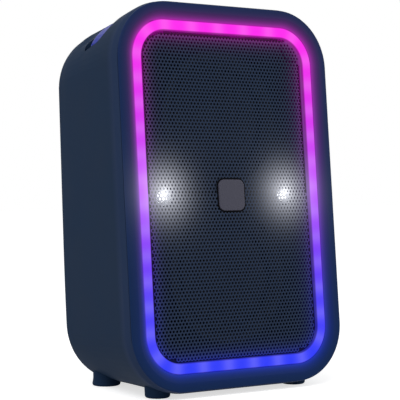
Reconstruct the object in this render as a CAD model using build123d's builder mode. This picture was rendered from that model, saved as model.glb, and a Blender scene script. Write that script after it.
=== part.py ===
"""A portable party speaker: a drafted cabinet with a lit ring round its grille, two woofers, two
strobe lamps, a sunk carrying handle, six top buttons and a covered socket bay at the rear.

Millimetres and degrees. +Z is up, the listener stands on the -Y side, +X is to the listener's right.
The origin is on the floor, under the middle of the speaker's bounding box. The front leans back, so
most pieces are placed on planes that lean with it: front_plane() faces the listener and level_plane()
faces up, square to it. "depth" always means the distance behind the light ring's face.
"""
import os
from math import cos, pi, radians, sin, sqrt, tan

from build123d import *

os.makedirs("parts", exist_ok=True)

# ---------------------------------------------------------------- driving dimensions
lean = 5.2              # the front leans back from upright
draft = 4.3             # the cabinet narrows towards the rear
wall = 3.5              # cabinet wall
seam = 0.4              # gap between parts that show next to each other
seat_gap = 0.3          # running clearance between a moving piece and what carries it

lip_width, lip_height, lip_corner = 262.0, 393.6, 62.8       # cabinet at its widest, behind the rim
lip_depth = 7.4         # depth of the widest section
rim_depth = -1.4        # depth of the cabinet's front rim
rim_taper = 8.0         # the rim turns inwards by this angle
rim_blend = 16.0        # radius that blends rim and side
cabinet_depth = 153.0   # depth of the rear face
rear_edge = 10.9        # fillet round the rear face

ring_margin = 19.3      # from the cabinet's widest outline in to the light ring
ring_width, ring_height = lip_width - 2 * ring_margin, lip_height - 2 * ring_margin
ring_corner = 40.0
ring_band = 11.0        # width of the lit band

bezel_margin = 1.7      # from the cabinet's widest outline in to the bezel
bezel_width, bezel_height = lip_width - 2 * bezel_margin, lip_height - 2 * bezel_margin
bezel_corner_ease = 2.6  # the bezel's corner is this much sharper than the lip's
bezel_corner = lip_corner - bezel_margin - bezel_corner_ease
bezel_crest = -3.6      # depth of the bezel's front
bezel_slope = 8.2       # width of the inner slope that faces the ring
bezel_edge = 1.6        # rounding of the bezel's outer edge

grille_depth, grille_thickness = 2.2, 1.2
badge_size, badge_corner, badge_proud = 32.0, 7.0, 1.6

baffle_seat = 6.0       # depth at which the bezel's skirt meets the baffle
trench_depth = 10.0     # floor of the trench that holds the light strip
baffle_front, baffle_back = 18.0, 24.0
baffle_clearance = 0.5  # between the baffle's edge and the cabinet wall
grille_ledge = 3.2      # width of the wall that carries the grille
diffuser_skin, diffuser_leg = 3.0, 1.6
diffuser_round = 1.2
strip_thickness, strip_clearance = 1.2, 0.3
led_size, led_height = 5.0, 1.6
badge_edge = 0.8

# each woofer is centred in its half of the opening inside the ring, at this height from the middle
woofer_height = (ring_height / 2 - ring_band - seam - grille_ledge) / 2
woofer_hole = 61.0      # radius of the baffle's woofer holes
frame_radius, frame_lip, frame_fit = 70.0, 2.5, 0.5
cone_radius, cone_land, cone_skin = 47.5, 2.5, 1.2
cone_rim_depth, cone_neck_depth = 17.4, 40.0
surround_roll, surround_skin, surround_land = 5.0, 0.9, 2.4
coil_radius, coil_skin = 15.8, 0.5
cap_radius, cap_height, cap_skin = 20.6, 6.5, 1.0
pole_radius, plate_bore = 15.2, 17.0
magnet_radius, magnet_height = 44.0, 15.0
plate_radius, plate_height = 40.0, 5.0
basket_depth = 58.0     # depth of the basket's rear plate
basket_skin, basket_rim, basket_window = 2.5, 4.0, 42.0      # the last is the angle of each window
spider_depth, spider_radius, spider_wave, spider_skin = 46.0, 38.0, 1.4, 0.8
cone_travel = 4.0
cone_neck_lap = 2.0     # length of the cone's neck on the voice coil
# the coil overhangs the top plate by its travel
coil_length = basket_depth + plate_height + cone_travel - (cone_neck_depth - cone_neck_lap)

strobe_margin = 36.7    # from the ring's outer edge in to a strobe lamp's centre
strobe_offset = ring_width / 2 - strobe_margin
strobe_rim, strobe_base, strobe_skin = 12.0, 6.2, 1.2
strobe_height, lens_radius, lens_skin = 7.5, 5.6, 1.0

well_margin = 10.0      # from the cabinet's widest outline in to the well's end
well_length, well_width = lip_width - 2 * well_margin, 48.5  # handle well, seen from above
well_front_corner, well_rear_corner = 20.0, 5.0
well_middle = 59.3      # depth of the well's centre line
well_rise = 58.6        # the floor just clears the upper woofer's basket
well_floor = woofer_height + well_rise
well_wall, well_floor_edge = 2.5, 2.0
grip_width, grip_thickness = 28.0, 14.0
grip_middle, grip_bend = 58.4, 30.0
grip_rise = 39.0
grip_top = well_floor + grip_rise
grip_end_gap = 5.0      # from the well's end wall to the grip
grip_round = 6.0

panel_length, panel_width, panel_middle = 138.0, 26.0, 103.0  # control panel, along the top face
panel_sink, panel_thickness, panel_flange = 0.3, 4.7, 1.5
button_names = ["power", "pairing", "light", "volume_down", "play", "volume_up"]
button_pitch, button_radius, button_gap, button_edge = 21.0, 7.0, 0.2, 0.6
button_proud, button_travel = 0.9, 0.8
button_flange, button_flange_height = 1.5, 1.2
button_stem, button_stem_length = 2.0, 0.4
switch_size, switch_height = 6.0, 3.2
board_thickness, board_margin, post_radius, post_inset = 1.6, 1.5, 2.0, 4.0
# the posts leave room for a button's travel above its switch
post_length = 2 * seat_gap + button_flange_height + button_stem_length + button_travel + switch_height

port_height, port_radius, port_wall, port_length, port_flare = 60.0, 23.0, 2.5, 58.0, 7.0
flange_lap, flange_thickness = 4.0, 2.0  # flanges that are glued behind the rear wall
bay_length, bay_height, bay_centre, bay_depth, bay_corner = 118.0, 46.0, -95.0, 14.0, 7.0
bay_wall, cover_thickness = 2.5, 3.0
cover_axis_rise, cover_tail, pin_radius, pin_length, pin_gap = 5.1, 4.2, 1.0, 1.8, 0.05
scoop_radius, scoop_reach, scoop_depth = 11.0, 5.0, 1.4      # finger scoop in the cover's upper edge
usb_spot, usb_width, usb_height, usb_bore = -22.0, 9.0, 3.2, 6.5
usb_skin, usb_tongue, usb_tongue_gap = 0.35, 0.7, 0.9
aux_spot, aux_radius, aux_bore, aux_length = 22.0, 4.0, 1.8, 13.0
socket_board_length, socket_board_height = 90.0, 32.0

screw_radius, screw_clearance = 1.5, 1.75    # thread, and the plain hole that it passes
screw_head, screw_head_height, counterbore_depth, screw_reach = 3.0, 2.2, 3.0, 10.0
thread_gap, glue_gap = 0.02, 0.1
boss_radius, boss_length, boss_inset = 5.0, 16.0, 6.0
boss_rise, boss_drop = 62.0, 12.5        # middle bosses above the centre, upper ones below the well
boss_blind_end, stand_blind_end = 3.0, 1.0
stand_radius, stand_length, stand_inset = 4.0, 11.5, 6.0

foot_front_radius, foot_rear_radius = 12.6, 15.0
foot_margin = 46.0      # from the cabinet's widest outline in to a foot's centre
foot_spread = lip_width / 2 - foot_margin
foot_front_depth, foot_rear_depth = 27.5, 130.0
foot_clearance = 4.2    # floor to the cabinet's underside at the front feet
foot_edge, foot_draft = 2.5, 3.0

foot_recess, foot_head_seat, foot_screw_length = 3.6, 3.2, 11.0

battery_gap = 10.0      # from a foot's screw in to the battery's end
battery_length, battery_height, battery_width = 2 * (foot_spread - battery_gap), 44.0, 38.0
battery_depth, battery_lift, battery_edge = 92.0, 6.1, 5.0
tray_wall, tray_rim, tray_height = 3.0, 4.0, 20.0
amplifier_length, amplifier_height, amplifier_middle = 120.0, 78.0, -19.0
amplifier_screw_reach = 8.0
sink_offset, sink_length, sink_height, sink_base = -20.0, 50.0, 44.0, 4.0
fin_height, fin_pitch, fin_thickness, fin_count = 14.0, 6.0, 2.0, 8
capacitor_offset, capacitor_pitch, capacitor_radius, capacitor_height = 30.0, 14.0, 5.0, 18.0

# ---------------------------------------------------------------- planes
rise, run = sin(radians(lean)), cos(radians(lean))
shrink = tan(radians(draft))

# Height of the ring's centre: the front feet reach foot_clearance below the drafted underside.
underside = -lip_height / 2 + (foot_front_depth - lip_depth) * shrink
floor_at_front_foot = underside - foot_clearance
ring_z = -floor_at_front_foot * run + foot_front_depth * rise

# The bounding box runs from the bezel's lower edge to the cabinet's upper rear edge.
foremost_depth, foremost_up = bezel_crest + bezel_edge, -bezel_height / 2 + bezel_edge
foremost = foremost_depth * run + foremost_up * rise - bezel_edge
rearmost_depth = cabinet_depth - rear_edge
rearmost_up = lip_height / 2 - (rearmost_depth - lip_depth) * shrink - rear_edge / cos(radians(draft))
rearmost = rearmost_depth * run + rearmost_up * rise + rear_edge
ring_y = -(foremost + rearmost) / 2

front = Plane(origin=(0, ring_y, ring_z), x_dir=(1, 0, 0), z_dir=(0, -run, rise))
outward = Axis(front.origin, front.z_dir)    # towards the listener
upward = Axis(front.origin, front.y_dir)     # up the leaning front


def front_plane(depth, across=0.0, up=0.0):
    """Faces the listener, parallel to the front; its y runs up the front."""
    return Plane(front.from_local_coords((across, up, -depth)), x_dir=front.x_dir, z_dir=front.z_dir)


def level_plane(up, across=0.0, depth=0.0):
    """Faces up, square to the front; its y runs to the rear."""
    return Plane(front.from_local_coords((across, up, -depth)), x_dir=front.x_dir, z_dir=front.y_dir)


def side_plane(across, up, depth):
    """Faces +X; its x runs up the front and its y runs towards the listener."""
    return Plane(front.from_local_coords((across, up, -depth)), x_dir=front.y_dir, z_dir=front.x_dir)


def top_plane(height=0.0):
    """Lies on the cabinet's drafted top face; its y runs to the rear from the widest section."""
    tilt = radians(lean + draft)
    at_lip = front.from_local_coords((0, lip_height / 2, -lip_depth))
    return Plane(at_lip, x_dir=(1, 0, 0), z_dir=(0, sin(tilt), cos(tilt))).offset(height)


def band_point(distance):
    """Point and heading on the light band's centre line, this far round from the bottom's middle."""
    radius = ring_corner - ring_band / 2
    half_w, half_h = ring_width / 2 - ring_corner, ring_height / 2 - ring_corner
    legs = [(half_w, -half_h, 0), (half_w, half_h, 90), (-half_w, half_h, 180), (-half_w, -half_h, 270)]
    straights = [half_w, 2 * half_h, 2 * half_w, 2 * half_h, half_w]
    quarter = pi / 2 * radius
    left = distance % (sum(straights) + 4 * quarter)
    for (cx, cy, heading), straight in zip(legs, straights):
        toward, outward = radians(heading), radians(heading - 90)
        if left < straight:
            back = straight - left
            return (cx - back * cos(toward) + radius * cos(outward),
                    cy - back * sin(toward) + radius * sin(outward), heading)
        left -= straight
        if left < quarter:
            turned = outward + left / radius
            return cx + radius * cos(turned), cy + radius * sin(turned), heading + left / radius * 180 / pi
        left -= quarter
    return left - half_w, -half_h - radius, 0


def spread(start, end, count):
    """Evenly spaced values from start to end."""
    return [start + (end - start) * i / (count - 1) for i in range(count)]


def finish(piece, label):
    """Name a finished piece and write it."""
    piece.part.label = label
    export_step(piece.part, f"parts/{label}.step")


def drafted_block(inset, depth_front, depth_back, edge=0.0):
    """The cabinet's drafted form, moved inwards by inset, between two depths."""
    with BuildPart(mode=Mode.PRIVATE) as block:
        with BuildSketch(front_plane(lip_depth)):
            RectangleRounded(lip_width - 2 * inset, lip_height - 2 * inset, lip_corner - inset)
        extrude(amount=-(depth_back - lip_depth), taper=draft)
        if edge:
            fillet(block.faces().sort_by(outward)[0].edges(), edge)
        if depth_front < lip_depth:
            with BuildSketch(front_plane(lip_depth)):
                RectangleRounded(lip_width - 2 * inset, lip_height - 2 * inset, lip_corner - inset)
            extrude(amount=lip_depth - depth_front)
    return block.part


# ---------------------------------------------------------------- cabinet
bay_opening = (bay_length + 2 * seam, bay_height + 2 * seam, bay_corner + seam)
boss_side = lip_width / 2 - wall - boss_inset
boss_turn = (lip_corner - wall - boss_inset) * sqrt(0.5)     # from a corner's centre to its boss
low_boss = (lip_width / 2 - lip_corner + boss_turn, -(lip_height / 2 - lip_corner + boss_turn))
top_boss = (boss_side, well_floor - well_wall - boss_drop)   # below the handle well
boss_spots = [
    (sign * across, up) for sign in (-1, 1)
    for across, up in (low_boss, (boss_side, -boss_rise), (boss_side, boss_rise), top_boss)
]
stand_across, stand_up = amplifier_length / 2 - stand_inset, amplifier_height / 2 - stand_inset
stand_spots = [(sx * stand_across, amplifier_middle + sy * stand_up) for sx in (-1, 1) for sy in (-1, 1)]

cavity = drafted_block(wall, rim_depth - 1, cabinet_depth - wall, edge=rear_edge - wall)

foot_places = {
    f"{end}_{side}": (sign * foot_spread, front.from_local_coords((0, -lip_height / 2, -depth)).Y)
    for end, depth in (("front", foot_front_depth), ("rear", foot_rear_depth))
    for side, sign in (("left", -1), ("right", 1))
}



def well_outline(margin=0.0):
    """Outline of the handle well seen from above, grown by margin; its front corners are the wide ones."""
    with BuildSketch(Plane.XY, mode=Mode.PRIVATE) as outline:
        Rectangle(well_length + 2 * margin, well_width + 2 * margin)
        fillet(outline.vertices().group_by(Axis.Y)[0], well_front_corner + margin)
        fillet(outline.vertices().group_by(Axis.Y)[-1], well_rear_corner + margin)
    add(outline.sketch)


with BuildPart() as cabinet_shell:
    with BuildSketch(front_plane(lip_depth)) as lip_section:
        RectangleRounded(lip_width, lip_height, lip_corner)
    extrude(amount=-(cabinet_depth - lip_depth), taper=draft)
    extrude(lip_section.sketch, amount=lip_depth - rim_depth, taper=rim_taper)
    fillet(cabinet_shell.faces().sort_by(outward)[0].edges(), rear_edge)
    lip_edges = [
        e for e in cabinet_shell.edges()
        if abs(front.to_local_coords(e.center()).Z + lip_depth) < 0.01
        and abs(front.to_local_coords(e @ 0).Z + lip_depth) < 0.01
    ]
    fillet(lip_edges, rim_blend)
    add(cavity, mode=Mode.SUBTRACT)
    # handle well, cut straight down through the top and both upper corners
    with BuildSketch(level_plane(well_floor, depth=well_middle)):
        well_outline()
    extrude(amount=lip_height / 2 - well_floor + 5, mode=Mode.SUBTRACT)
    # control panel
    with BuildSketch(top_plane(2.0)):
        with Locations((0, panel_middle)):
            SlotOverall(panel_length + 2 * seam, panel_width + 2 * seam)
    extrude(amount=-(wall + 4.0), mode=Mode.SUBTRACT)
    # bass port and socket bay, through the rear wall
    with BuildSketch(front_plane(cabinet_depth + 1)):
        with Locations((0, port_height)):
            Circle(port_radius + port_wall + port_flare)
        with Locations((0, bay_centre)):
            RectangleRounded(*bay_opening)
    extrude(amount=wall + 2, mode=Mode.SUBTRACT)
    # bosses that take the baffle's screws, and stand-offs for the amplifier board
    with BuildSketch(front_plane(baffle_back)):
        with Locations(*boss_spots):
            Circle(boss_radius)
    extrude(amount=-boss_length)
    with BuildSketch(front_plane(cabinet_depth - wall)):
        with Locations(*stand_spots):
            Circle(stand_radius)
    extrude(amount=stand_length)
    with BuildSketch(front_plane(baffle_back)):
        with Locations(*boss_spots):
            Circle(screw_radius)
    extrude(amount=-(boss_length - boss_blind_end), mode=Mode.SUBTRACT)
    with BuildSketch(front_plane(cabinet_depth - wall - stand_length)):
        with Locations(*stand_spots):
            Circle(screw_radius)
    extrude(amount=-(stand_length - stand_blind_end), mode=Mode.SUBTRACT)
    with BuildSketch(Plane.XY):
        with Locations(*foot_places.values()):
            Circle(screw_radius)
    extrude(amount=foot_screw_length + 10, mode=Mode.SUBTRACT)
finish(cabinet_shell, "cabinet_shell")

# ---------------------------------------------------------------- front
def ring_outline(margin, mode=Mode.ADD):
    """Outline parallel to the light ring's outer edge; a negative margin lies inside it."""
    RectangleRounded(
        ring_width + 2 * margin, ring_height + 2 * margin, ring_corner + margin, mode=mode
    )


def ring_band_sketch(outer_margin, inner_margin):
    """Closed band between two outlines parallel to the light ring."""
    ring_outline(outer_margin)
    ring_outline(inner_margin, mode=Mode.SUBTRACT)


inset_at_baffle = wall + baffle_clearance + (baffle_back - lip_depth) * shrink
baffle_outline = (
    lip_width - 2 * inset_at_baffle, lip_height - 2 * inset_at_baffle, lip_corner - inset_at_baffle
)
woofer_centres = {"upper": woofer_height, "lower": -woofer_height}
woofer_bolt_circle = (woofer_hole + frame_radius) / 2
woofer_screw_spots = [
    (woofer_bolt_circle * cos(radians(45 + 90 * i)), up + woofer_bolt_circle * sin(radians(45 + 90 * i)))
    for up in woofer_centres.values() for i in range(4)
]

# The light strip is four soldered lengths, so the spacing differs a little from side to side.
corner_arc = pi / 2 * (ring_corner - ring_band / 2)
side_start = ring_width / 2 - ring_corner + corner_arc
side_end = side_start + ring_height - 2 * ring_corner
top_start = side_end + corner_arc
top_end = top_start + ring_width - 2 * ring_corner
left_start = top_end + corner_arc
left_end = left_start + ring_height - 2 * ring_corner
led_distances = (
    spread(-(side_start - corner_arc) - 5.75, side_start - corner_arc + 5.75, 6)
    + spread(side_start - 15.7, side_end + 6.3, 12)
    + spread(top_start - 18.1, top_end, 6)
    + spread(left_start - 30.0, left_end + 23.2, 14)
)

grille_edge = -ring_band - seam
ledge_top = grille_depth + grille_thickness

with BuildPart() as front_baffle:
    with BuildSketch(front_plane(baffle_back)):
        RectangleRounded(*baffle_outline)
    extrude(amount=baffle_back - baffle_seat)
    with BuildSketch(front_plane(baffle_seat)):
        ring_outline(grille_edge)
    extrude(amount=baffle_seat - ledge_top)
    with BuildSketch(front_plane(trench_depth)):
        ring_band_sketch(seam / 2, -ring_band - seam / 2)
    extrude(amount=trench_depth, mode=Mode.SUBTRACT)
    with BuildSketch(front_plane(baffle_front)):
        ring_outline(grille_edge - grille_ledge)
    extrude(amount=baffle_front, mode=Mode.SUBTRACT)
    with BuildSketch(front_plane(baffle_back)):
        with Locations(*[(0, up) for up in woofer_centres.values()]):
            Circle(woofer_hole)
        with Locations(*woofer_screw_spots):
            Circle(screw_radius)
    extrude(amount=baffle_back, mode=Mode.SUBTRACT)
    for across, up in boss_spots:
        with Locations(front_plane(baffle_seat, across, up)):
            CounterBoreHole(screw_clearance, screw_head + seam, counterbore_depth)
finish(front_baffle, "front_baffle")

with BuildPart() as front_bezel:
    flange_back = rim_depth - seam
    with BuildSketch(front_plane(flange_back)):
        RectangleRounded(bezel_width, bezel_height, bezel_corner)
    extrude(amount=flange_back - bezel_crest)
    fillet(front_bezel.faces().sort_by(outward)[-1].edges(), bezel_edge)
    skirt = wall + seam
    with BuildSketch(front_plane(baffle_seat)):
        RectangleRounded(lip_width - 2 * skirt, lip_height - 2 * skirt, lip_corner - skirt)
    extrude(amount=baffle_seat - flange_back)
    with BuildSketch(front_plane(baffle_seat)):
        ring_outline(seam)
    extrude(amount=baffle_seat - bezel_crest, mode=Mode.SUBTRACT)
    with BuildSketch(front_plane(0)):
        ring_outline(seam)
    with BuildSketch(front_plane(bezel_crest)):
        ring_outline(seam + bezel_slope)
    loft(ruled=True, mode=Mode.SUBTRACT)
finish(front_bezel, "front_bezel")

with BuildPart() as light_diffuser:
    with BuildSketch(front_plane(trench_depth)):
        ring_band_sketch(0, -ring_band)
    extrude(amount=trench_depth)
    front_face = light_diffuser.faces().sort_by(outward)[-1]
    fillet(front_face.edges(), diffuser_round)
    with BuildSketch(front_plane(trench_depth)):
        ring_band_sketch(-diffuser_leg, diffuser_leg - ring_band)
    extrude(amount=trench_depth - diffuser_skin, mode=Mode.SUBTRACT)
finish(light_diffuser, "light_diffuser")

with BuildPart() as light_strip:
    strip_edge = diffuser_leg + strip_clearance
    with BuildSketch(front_plane(trench_depth)):
        ring_band_sketch(-strip_edge, strip_edge - ring_band)
    extrude(amount=strip_thickness)
finish(light_strip, "light_strip")

with BuildPart() as leds:
    with BuildSketch(front_plane(trench_depth - strip_thickness)):
        for distance in led_distances:
            across, up, turn = band_point(distance)
            with Locations(Location((across, up, 0), (0, 0, turn))):
                Rectangle(led_size, led_size)
    extrude(amount=led_height)
finish(leds, "leds")

with BuildPart() as grille:
    with BuildSketch(front_plane(ledge_top)):
        ring_outline(grille_edge)
    extrude(amount=grille_thickness)
finish(grille, "grille")

with BuildPart() as badge:
    with BuildSketch(front_plane(grille_depth)):
        RectangleRounded(badge_size, badge_size, badge_corner)
    extrude(amount=badge_proud)
    fillet(badge.faces().sort_by(outward)[-1].edges(), badge_edge)
finish(badge, "badge")


def screws_facing_front(spots, seat_depth, reach):
    """Pan-head screws driven from the front; every head sits at seat_depth."""
    with BuildPart(mode=Mode.PRIVATE) as group:
        with BuildSketch(front_plane(seat_depth)):
            with Locations(*spots):
                Circle(screw_head)
        extrude(amount=screw_head_height)
        with BuildSketch(front_plane(seat_depth)):
            with Locations(*spots):
                Circle(screw_radius - thread_gap)
        extrude(amount=-reach)
    return group.part


head_seat = baffle_seat + counterbore_depth
with BuildPart() as baffle_screws:
    add(screws_facing_front(boss_spots, head_seat, baffle_back - head_seat + screw_reach))
finish(baffle_screws, "baffle_screws")

# ---------------------------------------------------------------- woofers
def axis_plane(across, up):
    """Plane through an axis square to the front: x is the radius, -y is the depth."""
    return Plane(front.from_local_coords((across, up, 0)), x_dir=front.x_dir, z_dir=-front.y_dir)


def turned(centre, outline):
    """A body turned about an axis square to the front, from (radius, depth) points."""
    section = axis_plane(*centre)
    with BuildPart(mode=Mode.PRIVATE) as body:
        with BuildSketch(section):
            with BuildLine():
                Polyline(*[(r, -d) for r, d in outline], close=True)
            make_face()
        revolve(axis=Axis(section.origin, front.z_dir))
    return body.part


lip_front = baffle_front - frame_lip     # depth of the front of each woofer's frame
for name, up in woofer_centres.items():
    frame_bore = woofer_hole - 2
    basket_mouth = woofer_hole - frame_fit
    basket_waist = spider_radius + basket_rim
    rear_front = basket_depth - basket_skin
    shelf_in, shelf_out = spider_radius - 3, basket_waist - basket_skin
    shelf_front = spider_depth + spider_skin + 0.4
    shelf_back = shelf_front + 2
    rear_bore = plate_bore + 2
    with BuildPart() as frame:
        add(turned((0, up), [
            (frame_bore, lip_front), (frame_radius, lip_front), (frame_radius, baffle_front),
            (basket_mouth, baffle_front), (basket_mouth, baffle_back + 2),
            (basket_waist, spider_depth), (basket_waist, rear_front),
            (plate_radius, basket_depth), (rear_bore, basket_depth), (rear_bore, rear_front),
            (shelf_out, rear_front), (shelf_out, shelf_back), (shelf_in, shelf_back),
            (shelf_in, shelf_front), (shelf_out, shelf_front), (frame_bore, baffle_back),
        ]))
        # six windows between the basket's arms
        window_front = baffle_back + 3
        with BuildSketch(front_plane(window_front, 0, up)):
            with PolarLocations(0, 6):
                with BuildLine():
                    reach, half = woofer_hole + 2, radians(basket_window / 2)
                    side, end = reach * sin(half), reach * cos(half)
                    Polyline((0, 0), (end, -side), (end, side), close=True)
                make_face()
            Circle(basket_waist + 2, mode=Mode.SUBTRACT)
        extrude(amount=-(spider_depth - window_front), mode=Mode.SUBTRACT)
        for i in range(4):
            angle = radians(45 + 90 * i)
            spot = (woofer_bolt_circle * cos(angle), up + woofer_bolt_circle * sin(angle))
            with Locations(front_plane(lip_front, *spot)):
                Hole(screw_clearance, depth=frame_lip + 1)
    finish(frame, f"woofer_{name}_frame")

    with BuildPart() as magnet:
        top = basket_depth
        magnet_front = top + plate_height
        magnet_back = magnet_front + magnet_height
        add(turned((0, up), [
            (plate_bore, top), (plate_radius, top), (plate_radius, magnet_front),
            (magnet_radius, magnet_front), (magnet_radius, magnet_back), (plate_radius, magnet_back),
            (plate_radius, magnet_back + plate_height), (0, magnet_back + plate_height), (0, top - 1),
            (pole_radius, top - 1), (pole_radius, magnet_back), (magnet_radius / 2, magnet_back),
            (magnet_radius / 2, magnet_front), (plate_bore, magnet_front),
        ]))
    finish(magnet, f"woofer_{name}_magnet")

    coil_top = cone_neck_depth - cone_neck_lap
    with BuildPart() as cone:
        add(turned((0, up), [
            (cone_radius, cone_rim_depth), (cone_radius + cone_land, cone_rim_depth),
            (cone_radius + cone_land, cone_rim_depth + cone_skin),
            (cone_radius - cone_skin / 2, cone_rim_depth + cone_skin),
            (coil_radius + coil_skin + 2.5, cone_neck_depth - 3), (coil_radius + coil_skin, cone_neck_depth),
            (coil_radius + coil_skin, coil_top), (cap_radius - 2, cone_neck_depth - 5),
        ]))
    finish(cone, f"woofer_{name}_cone")

    with BuildPart() as coil:
        add(turned((0, up), [
            (coil_radius, coil_top), (coil_radius + coil_skin, coil_top),
            (coil_radius + coil_skin, coil_top + coil_length), (coil_radius, coil_top + coil_length),
        ]))
    finish(coil, f"woofer_{name}_voice_coil")

    # half-roll surround between the cone's rim and the frame's lip
    with BuildPart() as surround:
        roll_in = cone_radius + cone_land
        roll_mid = roll_in + surround_roll
        inner_back, outer_back = cone_rim_depth - seat_gap, lip_front
        with BuildSketch(axis_plane(0, up)):
            with BuildLine():
                inner_top = (roll_in, -(inner_back - surround_skin))
                outer_top = (roll_mid + surround_roll, -(outer_back - surround_skin))
                crest = -(lip_front - surround_roll)
                Polyline(inner_top, (roll_in - cone_land, inner_top[1]), (roll_in - cone_land, -inner_back),
                         (roll_in + surround_skin, -inner_back))
                ThreePointArc((roll_in + surround_skin, -inner_back), (roll_mid, crest - surround_skin),
                              (roll_mid + surround_roll - surround_skin, -outer_back))
                land_edge = outer_top[0] + surround_land
                Polyline((roll_mid + surround_roll - surround_skin, -outer_back),
                         (land_edge, -outer_back), (land_edge, outer_top[1]), outer_top)
                ThreePointArc(outer_top, (roll_mid, crest), inner_top)
            make_face()
        revolve(axis=Axis(axis_plane(0, up).origin, front.z_dir))
    finish(surround, f"woofer_{name}_surround")

    # corrugated spider that centres the coil
    with BuildPart() as spider:
        waves = 4
        inner = coil_radius + coil_skin + seat_gap
        step = (spider_radius - 0.5 - inner) / waves
        crests = [(inner + step * (k + 0.5), spider_depth + (-spider_wave if k % 2 else spider_wave))
                  for k in range(waves)]
        face = [(inner, spider_depth)] + crests + [(spider_radius + 1, spider_depth + 0.4)]
        add(turned((0, up), face + [(r, d + spider_skin) for r, d in reversed(face)]))
    finish(spider, f"woofer_{name}_spider")

    with BuildPart() as dust_cap:
        cone_slope = (cone_neck_depth - 5 - cone_rim_depth) / (cone_radius - cap_radius + 2)
        cap_seat = cone_rim_depth + (cone_radius - cap_radius) * cone_slope
        dome = (cap_radius ** 2 + cap_height ** 2) / (2 * cap_height)
        dome_middle = cap_seat - cap_height + dome
        inner_rim = sqrt((dome - cap_skin) ** 2 - (dome - cap_height) ** 2)
        with BuildSketch(axis_plane(0, up)):
            with BuildLine():
                Polyline((0, -(dome_middle - dome)), (0, -(dome_middle - dome + cap_skin)))
                RadiusArc((0, -(dome_middle - dome + cap_skin)), (inner_rim, -cap_seat), dome - cap_skin)
                Line((inner_rim, -cap_seat), (cap_radius, -cap_seat))
                RadiusArc((0, -(dome_middle - dome)), (cap_radius, -cap_seat), dome)
            make_face()
        revolve(axis=Axis(axis_plane(0, up).origin, front.z_dir))
    finish(dust_cap, f"woofer_{name}_dust_cap")

with BuildPart() as woofer_screws:
    add(screws_facing_front(woofer_screw_spots, baffle_front - frame_lip, screw_reach))
finish(woofer_screws, "woofer_screws")

# ---------------------------------------------------------------- strobe lamps
for side, sign in (("left", -1), ("right", 1)):
    centre = (sign * strobe_offset, 0)
    floor, strobe_mouth = baffle_front - strobe_skin, baffle_front - strobe_height
    with BuildPart() as reflector:
        add(turned(centre, [
            (0, baffle_front), (strobe_base + strobe_skin, baffle_front),
            (strobe_rim, strobe_mouth), (strobe_rim - strobe_skin, strobe_mouth),
            (strobe_base, floor), (0, floor),
        ]))
    finish(reflector, f"strobe_{side}_reflector")

    with BuildPart() as lamp:
        with BuildSketch(front_plane(floor, *centre)):
            Rectangle(led_size, led_size)
        extrude(amount=led_height)
    finish(lamp, f"strobe_{side}_led")

    with BuildPart() as lens:
        with BuildSketch(axis_plane(*centre)):
            with BuildLine():
                inner = lens_radius - lens_skin
                Line((0, -floor + lens_radius), (0, -floor + inner))
                CenterArc((0, -floor), inner, 0, 90)
                Line((inner, -floor), (lens_radius, -floor))
                CenterArc((0, -floor), lens_radius, 0, 90)
            make_face()
        revolve(axis=Axis(axis_plane(*centre).origin, front.z_dir))
    finish(lens, f"strobe_{side}_lens")

# ---------------------------------------------------------------- carrying handle
grip_length = well_length - 2 * grip_end_gap
grip_screw_spots = [(sx * (grip_length - grip_thickness) / 2, sy * grip_width / 4)
                    for sx in (-1, 1) for sy in (-1, 1)]

with BuildPart() as handle_well:
    with BuildSketch(level_plane(well_floor - well_wall, depth=well_middle)):
        well_outline(well_wall)
    extrude(amount=lip_height / 2 - well_floor)
    with BuildSketch(level_plane(well_floor, depth=well_middle)):
        well_outline()
    extrude(amount=lip_height / 2, mode=Mode.SUBTRACT)
    floor_edges = handle_well.faces().filter_by(upward).sort_by(upward)[1].edges()
    fillet(floor_edges, well_floor_edge)
    add(cavity, mode=Mode.INTERSECT)
    with BuildSketch(level_plane(well_floor, depth=grip_middle)):
        with Locations(*grip_screw_spots):
            Circle(screw_clearance)
    extrude(amount=-well_wall, mode=Mode.SUBTRACT)
finish(handle_well, "handle_well")

with BuildPart() as handle_grip:
    arch_middle = grip_top - grip_bend - grip_thickness
    arch_height = 2 * (grip_top - arch_middle)
    with BuildSketch(front_plane(grip_middle - grip_width / 2)):
        with Locations((0, arch_middle)):
            RectangleRounded(grip_length, arch_height, grip_bend)
            RectangleRounded(grip_length - 2 * grip_thickness, arch_height - 2 * grip_thickness,
                             grip_bend - grip_thickness, mode=Mode.SUBTRACT)
        with Locations((0, well_floor)):
            Rectangle(2 * grip_length, 2 * arch_height, align=(Align.CENTER, Align.MAX), mode=Mode.SUBTRACT)
    extrude(amount=-grip_width)
    flat_sides = [handle_grip.faces().sort_by(outward)[end] for end in (0, -1)]
    rims = [e for side in flat_sides for e in side.edges()
            if front.to_local_coords(e.center()).Y > well_floor + 0.1]
    fillet(rims, grip_round)
    with BuildSketch(level_plane(well_floor, depth=grip_middle)):
        with Locations(*grip_screw_spots):
            Circle(screw_radius)
    extrude(amount=screw_reach + 1, mode=Mode.SUBTRACT)
finish(handle_grip, "handle_grip")

with BuildPart() as grip_screws:
    with BuildSketch(level_plane(well_floor - well_wall, depth=grip_middle)):
        with Locations(*grip_screw_spots):
            Circle(screw_head)
    extrude(amount=-screw_head_height)
    with BuildSketch(level_plane(well_floor - well_wall, depth=grip_middle)):
        with Locations(*grip_screw_spots):
            Circle(screw_radius - thread_gap)
    extrude(amount=well_wall + screw_reach)
finish(grip_screws, "grip_screws")

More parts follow.
